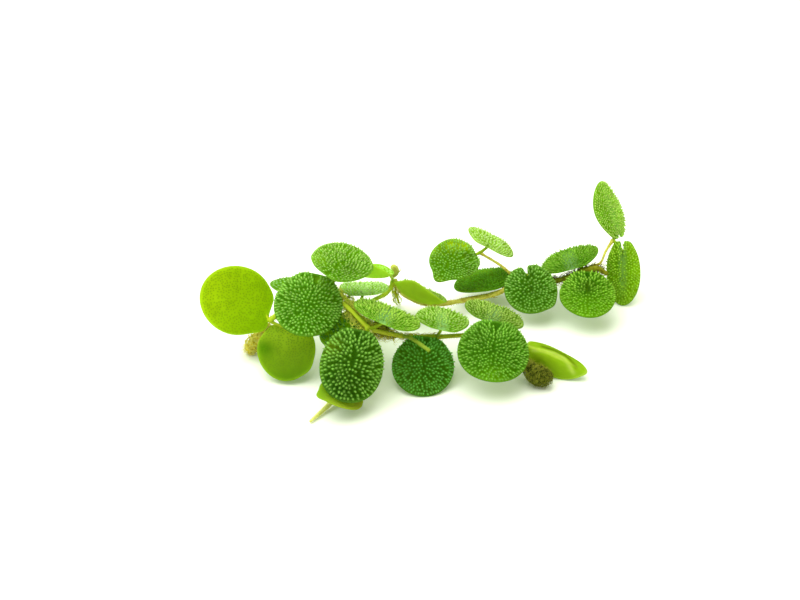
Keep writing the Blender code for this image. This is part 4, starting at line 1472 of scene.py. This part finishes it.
@dataclass
class StemPiece(PlantPiece):
    """One stretch of the stem with its bristles, and with long soft hairs where it has a fringe.

    The fringe leaves bare the side of the stem that faces bare_side.
    """

    stem: Stem
    step: float = 0.3
    sides: int = 14
    knot: float = 1.35
    knot_reach: float = 0.9
    ridges: int = 5
    ridge_height: float = 0.05
    ridge_twist: float = 0.12
    wobble: float = 0.06
    wobbles: int = 24
    bristle_radius: float = 0.035
    bristle_lengths: tuple[float, float] = (0.5, 1.15)
    bristle_tilt: float = 0.45
    bristle_lean: tuple[float, float] = (0.15, 0.3)
    bristle_stray: float = 0.12
    bare_side: Point = (0.0, -0.87, 0.5)
    bare_limit: float = 0.15
    fringe_points: int = 7
    fringe_rise: float = 0.3
    fringe_wave: float = 0.08
    fringe_widths: tuple[float, float] = (0.045, 0.09)
    fringe_taper: tuple[float, float] = (1.1, 0.3)
    fringe_turn: float = 0.25
    fringe_reaches: tuple[float, float] = (0.3, 1.0)
    fringe_lengths: tuple[float, float] = (0.5, 1.0)
    fringe_swings: tuple[float, float] = (4.0, 9.0)
    fringe_arch: float = 2.2
    fringe_sides: int = 3
    fringe_height: float = 1.5
    lowest: float = 0.1

    def add_fringe(self, draft: Draft, tube: Tube, count: int, length: float, reach: float) -> None:
        """Adds long soft hairs that lie along a tube and stand a little off it.

        Args:
            draft: Mesh under way.
            tube: The stretch of stem.
            count: Number of hairs on all its sides.
            length: Length of a hair.
            reach: How far its middle stands off the tube.
        """
        chance = self.chance
        span = np.linalg.norm(np.diff(tube.path, axis=0), axis=1).sum()
        feet, off, along = tube.scatter(count / span, chance)
        part = np.linspace(0.0, 1.0, self.fringe_points)[:, None]
        kept = off @ np.array(self.bare_side) < self.bare_limit
        off[:, 2] = np.minimum(off[:, 2], self.fringe_rise)
        for foot, outward, ahead in zip(feet[kept], off[kept], along[kept]):
            heading = ahead * chance.choice((-1, 1))
            heading = heading + self.fringe_turn * np.cross(ahead, outward) * chance.normal()
            away = reach * chance.uniform(*self.fringe_reaches)
            wave = np.cross(heading, outward) * self.fringe_wave * chance.normal()
            wave = wave * np.sin(part * chance.uniform(*self.fringe_swings))
            curve = foot + heading * part * length * chance.uniform(*self.fringe_lengths)
            curve = curve + outward * away * np.sin(part * self.fringe_arch) + wave
            curve[:, 2] = np.maximum(curve[:, 2], self.lowest)
            radii = chance.uniform(*self.fringe_widths) * np.interp(part[:, 0], (0.0, 1.0), self.fringe_taper)
            fibre = Tube(curve, radii)
            fibre.add_to(draft, self.fringe_sides, TubeSurface.HAIR, chance.uniform(), self.fringe_height)

    def skin(self) -> tuple[Tube, Tube]:
        """The stretch as a smooth tube, thicker where it meets a joint, and as one with ridges.

        Returns:
            The two tubes.
        """
        stem = self.stem
        path = smooth_route([joint_point(stop) for stop in stem.route], self.step)
        span = np.linspace(0.0, 1.0, len(path))
        radii = np.interp(span, np.linspace(0.0, 1.0, len(stem.radii)), stem.radii)
        for stop in stem.route:
            if isinstance(stop, str):
                distance = np.linalg.norm(path - joint_point(stop), axis=1)
                radii = radii * (1 + (self.knot - 1) * hump(distance, self.knot_reach))
        twist = self.ridge_twist * np.arange(len(path))[:, None]
        ridges = 1 + self.ridge_height * np.sin(self.ridges * around(self.sides)[None] + twist)
        swells = self.chance.normal(0, 1, self.wobbles)
        wobble = 1 + self.wobble * np.interp(span, np.linspace(0, 1, self.wobbles), swells)[:, None]
        return Tube(path, radii), Tube(path, radii[:, None] * ridges * wobble)

    def build(self) -> list[bpy.types.Object]:
        """Builds the stretch.

        Returns:
            The piece.
        """
        stem, draft, chance = self.stem, Draft(), self.chance
        tube, ridged = self.skin()
        ridged.add_to(draft, self.sides, TubeSurface.SKIN)
        places, off, along = tube.scatter(stem.bristles, chance)
        count = len(places)
        lengths = stem.bristle_length * chance.uniform(*self.bristle_lengths, count)
        direction = unit(off + along * chance.normal(0.0, self.bristle_tilt, (count, 1)))
        lean = along * chance.normal(*self.bristle_lean, (count, 1))
        lean = lean + chance.normal(0, self.bristle_stray, (count, 3))
        draft.add_hairs(HairForm.bristle(), places, direction, lean, lengths, self.bristle_radius,
                        TubeSurface.HAIR, chance)
        steps = len(tube.path)
        for start, end, hairs, length, reach in stem.fringe:
            part = slice(int(start * steps), int(end * steps))
            self.add_fringe(draft, Tube(tube.path[part], tube.radii[part]), hairs, length, reach)
        skin, dark, bristle = stem.tone.value
        return [self.finish(draft, stem.name, "stem", [
            StemFinish(stem.name + "_skin", skin, dark),
            HairFinish(stem.name + "_bristle", dark, bristle, dark, start=0.0, end=0.4, through=0.6)])]


@dataclass
class TuftPiece(PlantPiece):
    """One tuft of root-like leaves: curling filaments with fine hairs round a lumpy heart."""

    tuft: Tuft
    step: float = 0.2
    sides: int = 5
    spreads: tuple[float, float] = (0.05, 1.0)
    swing: float = 2.2
    wiggles: tuple[float, float] = (8.0, 18.0)
    phases: float = 6.0
    pulses: tuple[float, float] = (9.0, 20.0)
    pulse_share: float = 0.25
    trimmed: float = 0.14
    hairs: float = 3.0
    hair_radius: float = 0.028
    hair_lengths: tuple[float, float] = (0.4, 1.1)
    hair_drop: float = 0.9
    least_hair: float = 0.1
    hair_lean: float = 0.5
    hair_stray: float = 0.2
    heart_number: float = 0.5
    heart_sides: int = 26
    heart_reach: float = 0.9
    lump_height: float = 0.12
    lump_drift: float = 1.7
    lumps: tuple[tuple[int, float], ...] = ((2, 1.3), (3, 2.3), (5, 3.4), (7, 4.6))
    roundness: float = 0.84
    round_from: float = 0.65
    taper: tuple[tuple[float, ...], ...] = ((0.0, 0.6, 1.0), (1.0, 0.8, 0.35))
    shortest: int = 8

    def filament(self, middle: np.ndarray, envelope: np.ndarray) -> np.ndarray:
        """Path of one filament inside the tuft's outline.

        Args:
            middle: Middle line of the tuft.
            envelope: Radius of its outline at each point.

        Returns:
            The filament's points.
        """
        chance, curl = self.chance, self.tuft.curl
        _, across, upward = cross_frames(middle)
        span = np.linspace(0.0, 1.0, len(middle))
        spread = np.sqrt(chance.uniform(*self.spreads))
        begin = chance.uniform(0.0, 2 * math.pi)
        swing = chance.uniform(-self.swing, self.swing)
        wiggle = curl * np.sin(span * chance.uniform(*self.wiggles) + chance.uniform(0, self.phases))
        turn = begin + swing * span + wiggle
        pulse = self.pulse_share * curl * np.sin(span * chance.uniform(*self.pulses) + begin)
        distance = envelope * spread * (1 + pulse)
        distance = np.minimum(distance, envelope)
        sideways, rising = ((distance * part(turn))[:, None] for part in (np.cos, np.sin))
        path = middle + across * sideways + upward * rising
        path[:, 2] = np.maximum(path[:, 2], self.tuft.thickness)
        end = len(path) - int(chance.uniform(0.0, self.trimmed) * len(path))
        return path[:max(end, self.shortest)]

    def add_heart(self, draft: Draft, middle: np.ndarray, envelope: np.ndarray) -> None:
        """Adds the lumpy mass in the middle of the tuft, where its filaments stick together.

        Args:
            draft: Mesh under way.
            middle: Middle line of the tuft.
            envelope: Radius of its outline at each point.
        """
        count = round(self.heart_reach * len(middle))
        run = np.arange(count)[:, None] * self.step
        lumps = np.zeros((count, self.heart_sides))
        for waves, steps in self.lumps:
            phase = self.chance.uniform(0, 2 * math.pi, 2)
            shift = phase[0] + self.lump_drift * np.sin(steps * run + phase[1])
            lumps += np.sin(waves * around(self.heart_sides) + shift) / waves
        radii = self.tuft.heart * envelope[:count, None] * (1 + self.lump_height * lumps)
        inside = middle[:count].copy()
        inside[:, 2] = np.maximum(inside[:, 2], radii.max(axis=1))
        heart = Tube(inside, radii)
        heart.add_to(draft, self.heart_sides, TubeSurface.SKIN, self.heart_number, self.tuft.darkening)

    def add_filament(self, draft: Draft, middle: np.ndarray, path: np.ndarray) -> None:
        """Adds a filament with its hairs, which are darker towards the tuft's far end.

        Args:
            draft: Mesh under way.
            middle: Middle line of the tuft.
            path: Middle line of the filament.
        """
        tuft, chance = self.tuft, self.chance
        tube = Tube(path, tuft.thickness * np.interp(np.linspace(0.0, 1.0, len(path)), *self.taper))
        tube.add_to(draft, self.sides, TubeSurface.SKIN, chance.uniform(), tuft.darkening)
        places, off, along = tube.scatter(self.hairs, chance)
        count = len(places)
        lengths = tuft.hair_length * chance.uniform(*self.hair_lengths, count)
        lengths = np.minimum(lengths, self.hair_drop * places[:, 2] + self.least_hair)
        lean = along * self.hair_lean + chance.normal(0, self.hair_stray, (count, 3))
        gone = np.linalg.norm(places - middle[0], axis=1) / np.linalg.norm(middle[-1] - middle[0])
        draft.add_hairs(HairForm.bristle(), places, off, lean, lengths, self.hair_radius, TubeSurface.HAIR,
                        chance, shares=-tuft.darkening * np.minimum(gone, 1.0))

    def build(self) -> list[bpy.types.Object]:
        """Builds the tuft.

        Returns:
            The piece.
        """
        tuft, draft = self.tuft, Draft()
        middle = smooth_route(list(tuft.route), self.step)
        span = np.linspace(0.0, 1.0, len(middle))
        envelope = np.interp(span, np.linspace(0, 1, len(tuft.radii)), tuft.radii)
        near_end = np.clip((span - self.round_from) / (1 - self.round_from), 0, 1)
        envelope = envelope * np.sqrt(1 - self.roundness * near_end**2)
        self.add_heart(draft, middle, envelope)
        for _ in range(tuft.filaments):
            self.add_filament(draft, middle, self.filament(middle, envelope))
        return [self.finish(draft, tuft.name, "tuft", [
            StemFinish(tuft.name + "_filament", tuft.light, tuft.dark, patches=0.9, through=0.25),
            HairFinish(tuft.name + "_fuzz", tuft.dark, tuft.light, tuft.dark, start=0.0, end=0.6)])]


@dataclass
class Studio:
    """The pale surface, the soft light and the camera, whose target and distance are in millimetres."""

    target: Point = (-3.8, 0.0, 10.0)
    distance: float = 380.0
    elevation: float = 30.0
    lens: float = 90.0
    sensor: float = 36.0
    nearest: float = 0.01
    floor_reach: float = 1.6
    floor_colour: Colour = (0.86, 0.9, 0.82)
    floor_roughness: float = 0.35
    floor_shine: float = 0.15
    sky_colour: Colour = (0.98, 1.0, 0.8)
    sky_strength: float = 0.98
    lamp_power: float = 4.4
    lamp_size: tuple[float, float] = (0.8, 0.65)
    lamp_place: Point = (-0.15, 0.02, 0.46)

    def build_floor(self) -> None:
        """Adds the surface that the plant lies on."""
        mesh = bpy.data.meshes.new("surface")
        reach = self.floor_reach
        corners = [(x * reach, y * reach, 0.0) for x, y in ((-1, -1), (1, -1), (1, 1), (-1, 1))]
        mesh.from_pydata(corners, [], [(0, 1, 2, 3)])
        floor = bpy.data.objects.new("surface", mesh)
        material = bpy.data.materials.new("pale surface")
        material.use_nodes = True
        shader = material.node_tree.nodes["Principled BSDF"]
        shader.inputs["Base Color"].default_value = (*self.floor_colour, 1.0)
        shader.inputs["Roughness"].default_value = self.floor_roughness
        shader.inputs["Specular IOR Level"].default_value = self.floor_shine
        mesh.materials.append(material)
        bpy.context.scene.collection.objects.link(floor)

    def build_light(self) -> None:
        """Adds a large soft lamp overhead and an even sky."""
        world = bpy.data.worlds.new("studio")
        world.use_nodes = True
        background = world.node_tree.nodes["Background"]
        background.inputs["Color"].default_value = (*self.sky_colour, 1.0)
        background.inputs["Strength"].default_value = self.sky_strength
        bpy.context.scene.world = world
        lamp = bpy.data.lights.new("overhead", "AREA")
        lamp.shape = "RECTANGLE"
        lamp.size, lamp.size_y = self.lamp_size
        lamp.energy = self.lamp_power
        overhead = bpy.data.objects.new("overhead", lamp)
        overhead.location = self.lamp_place
        overhead.rotation_euler = Vector(self.lamp_place).to_track_quat("Z", "Y").to_euler()
        bpy.context.scene.collection.objects.link(overhead)

    def build_camera(self) -> None:
        """Adds the camera at the photograph's viewing angle."""
        camera = bpy.data.cameras.new("camera")
        camera.lens = self.lens
        camera.sensor_width = self.sensor
        camera.clip_start = self.nearest
        view = bpy.data.objects.new("camera", camera)
        angle = math.radians(self.elevation)
        away = np.array((0.0, -math.cos(angle), math.sin(angle)))
        view.location = metres(np.array(self.target) + away * self.distance)
        view.rotation_euler = (math.pi / 2 - angle, 0.0, 0.0)
        bpy.context.scene.collection.objects.link(view)
        bpy.context.scene.camera = view

    def build(self) -> None:
        """Adds everything round the plant."""
        self.build_floor()
        self.build_light()
        self.build_camera()
        bpy.context.scene.view_settings.view_transform = "Standard"


def main() -> None:
    """Builds the studio and the plant, and logs the number of faces of each piece."""
    logging.basicConfig(level=logging.INFO, format="%(name)s: %(message)s")
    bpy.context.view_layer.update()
    Studio().build()
    groups = SkinGroups()
    for maker, plans, first_seed in ((LeafPiece, LEAVES, LEAF_SEED), (StemPiece, STEMS, STEM_SEED),
                                     (TuftPiece, TUFTS, TUFT_SEED)):
        for number, plan in enumerate(plans):
            for piece in maker(groups, np.random.default_rng(first_seed + number), plan).build():
                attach(piece, PLANT_BODY)
                LOG.info("%s: %d faces", piece.name, len(piece.data.polygons))


if __name__ == "__main__":
    main()
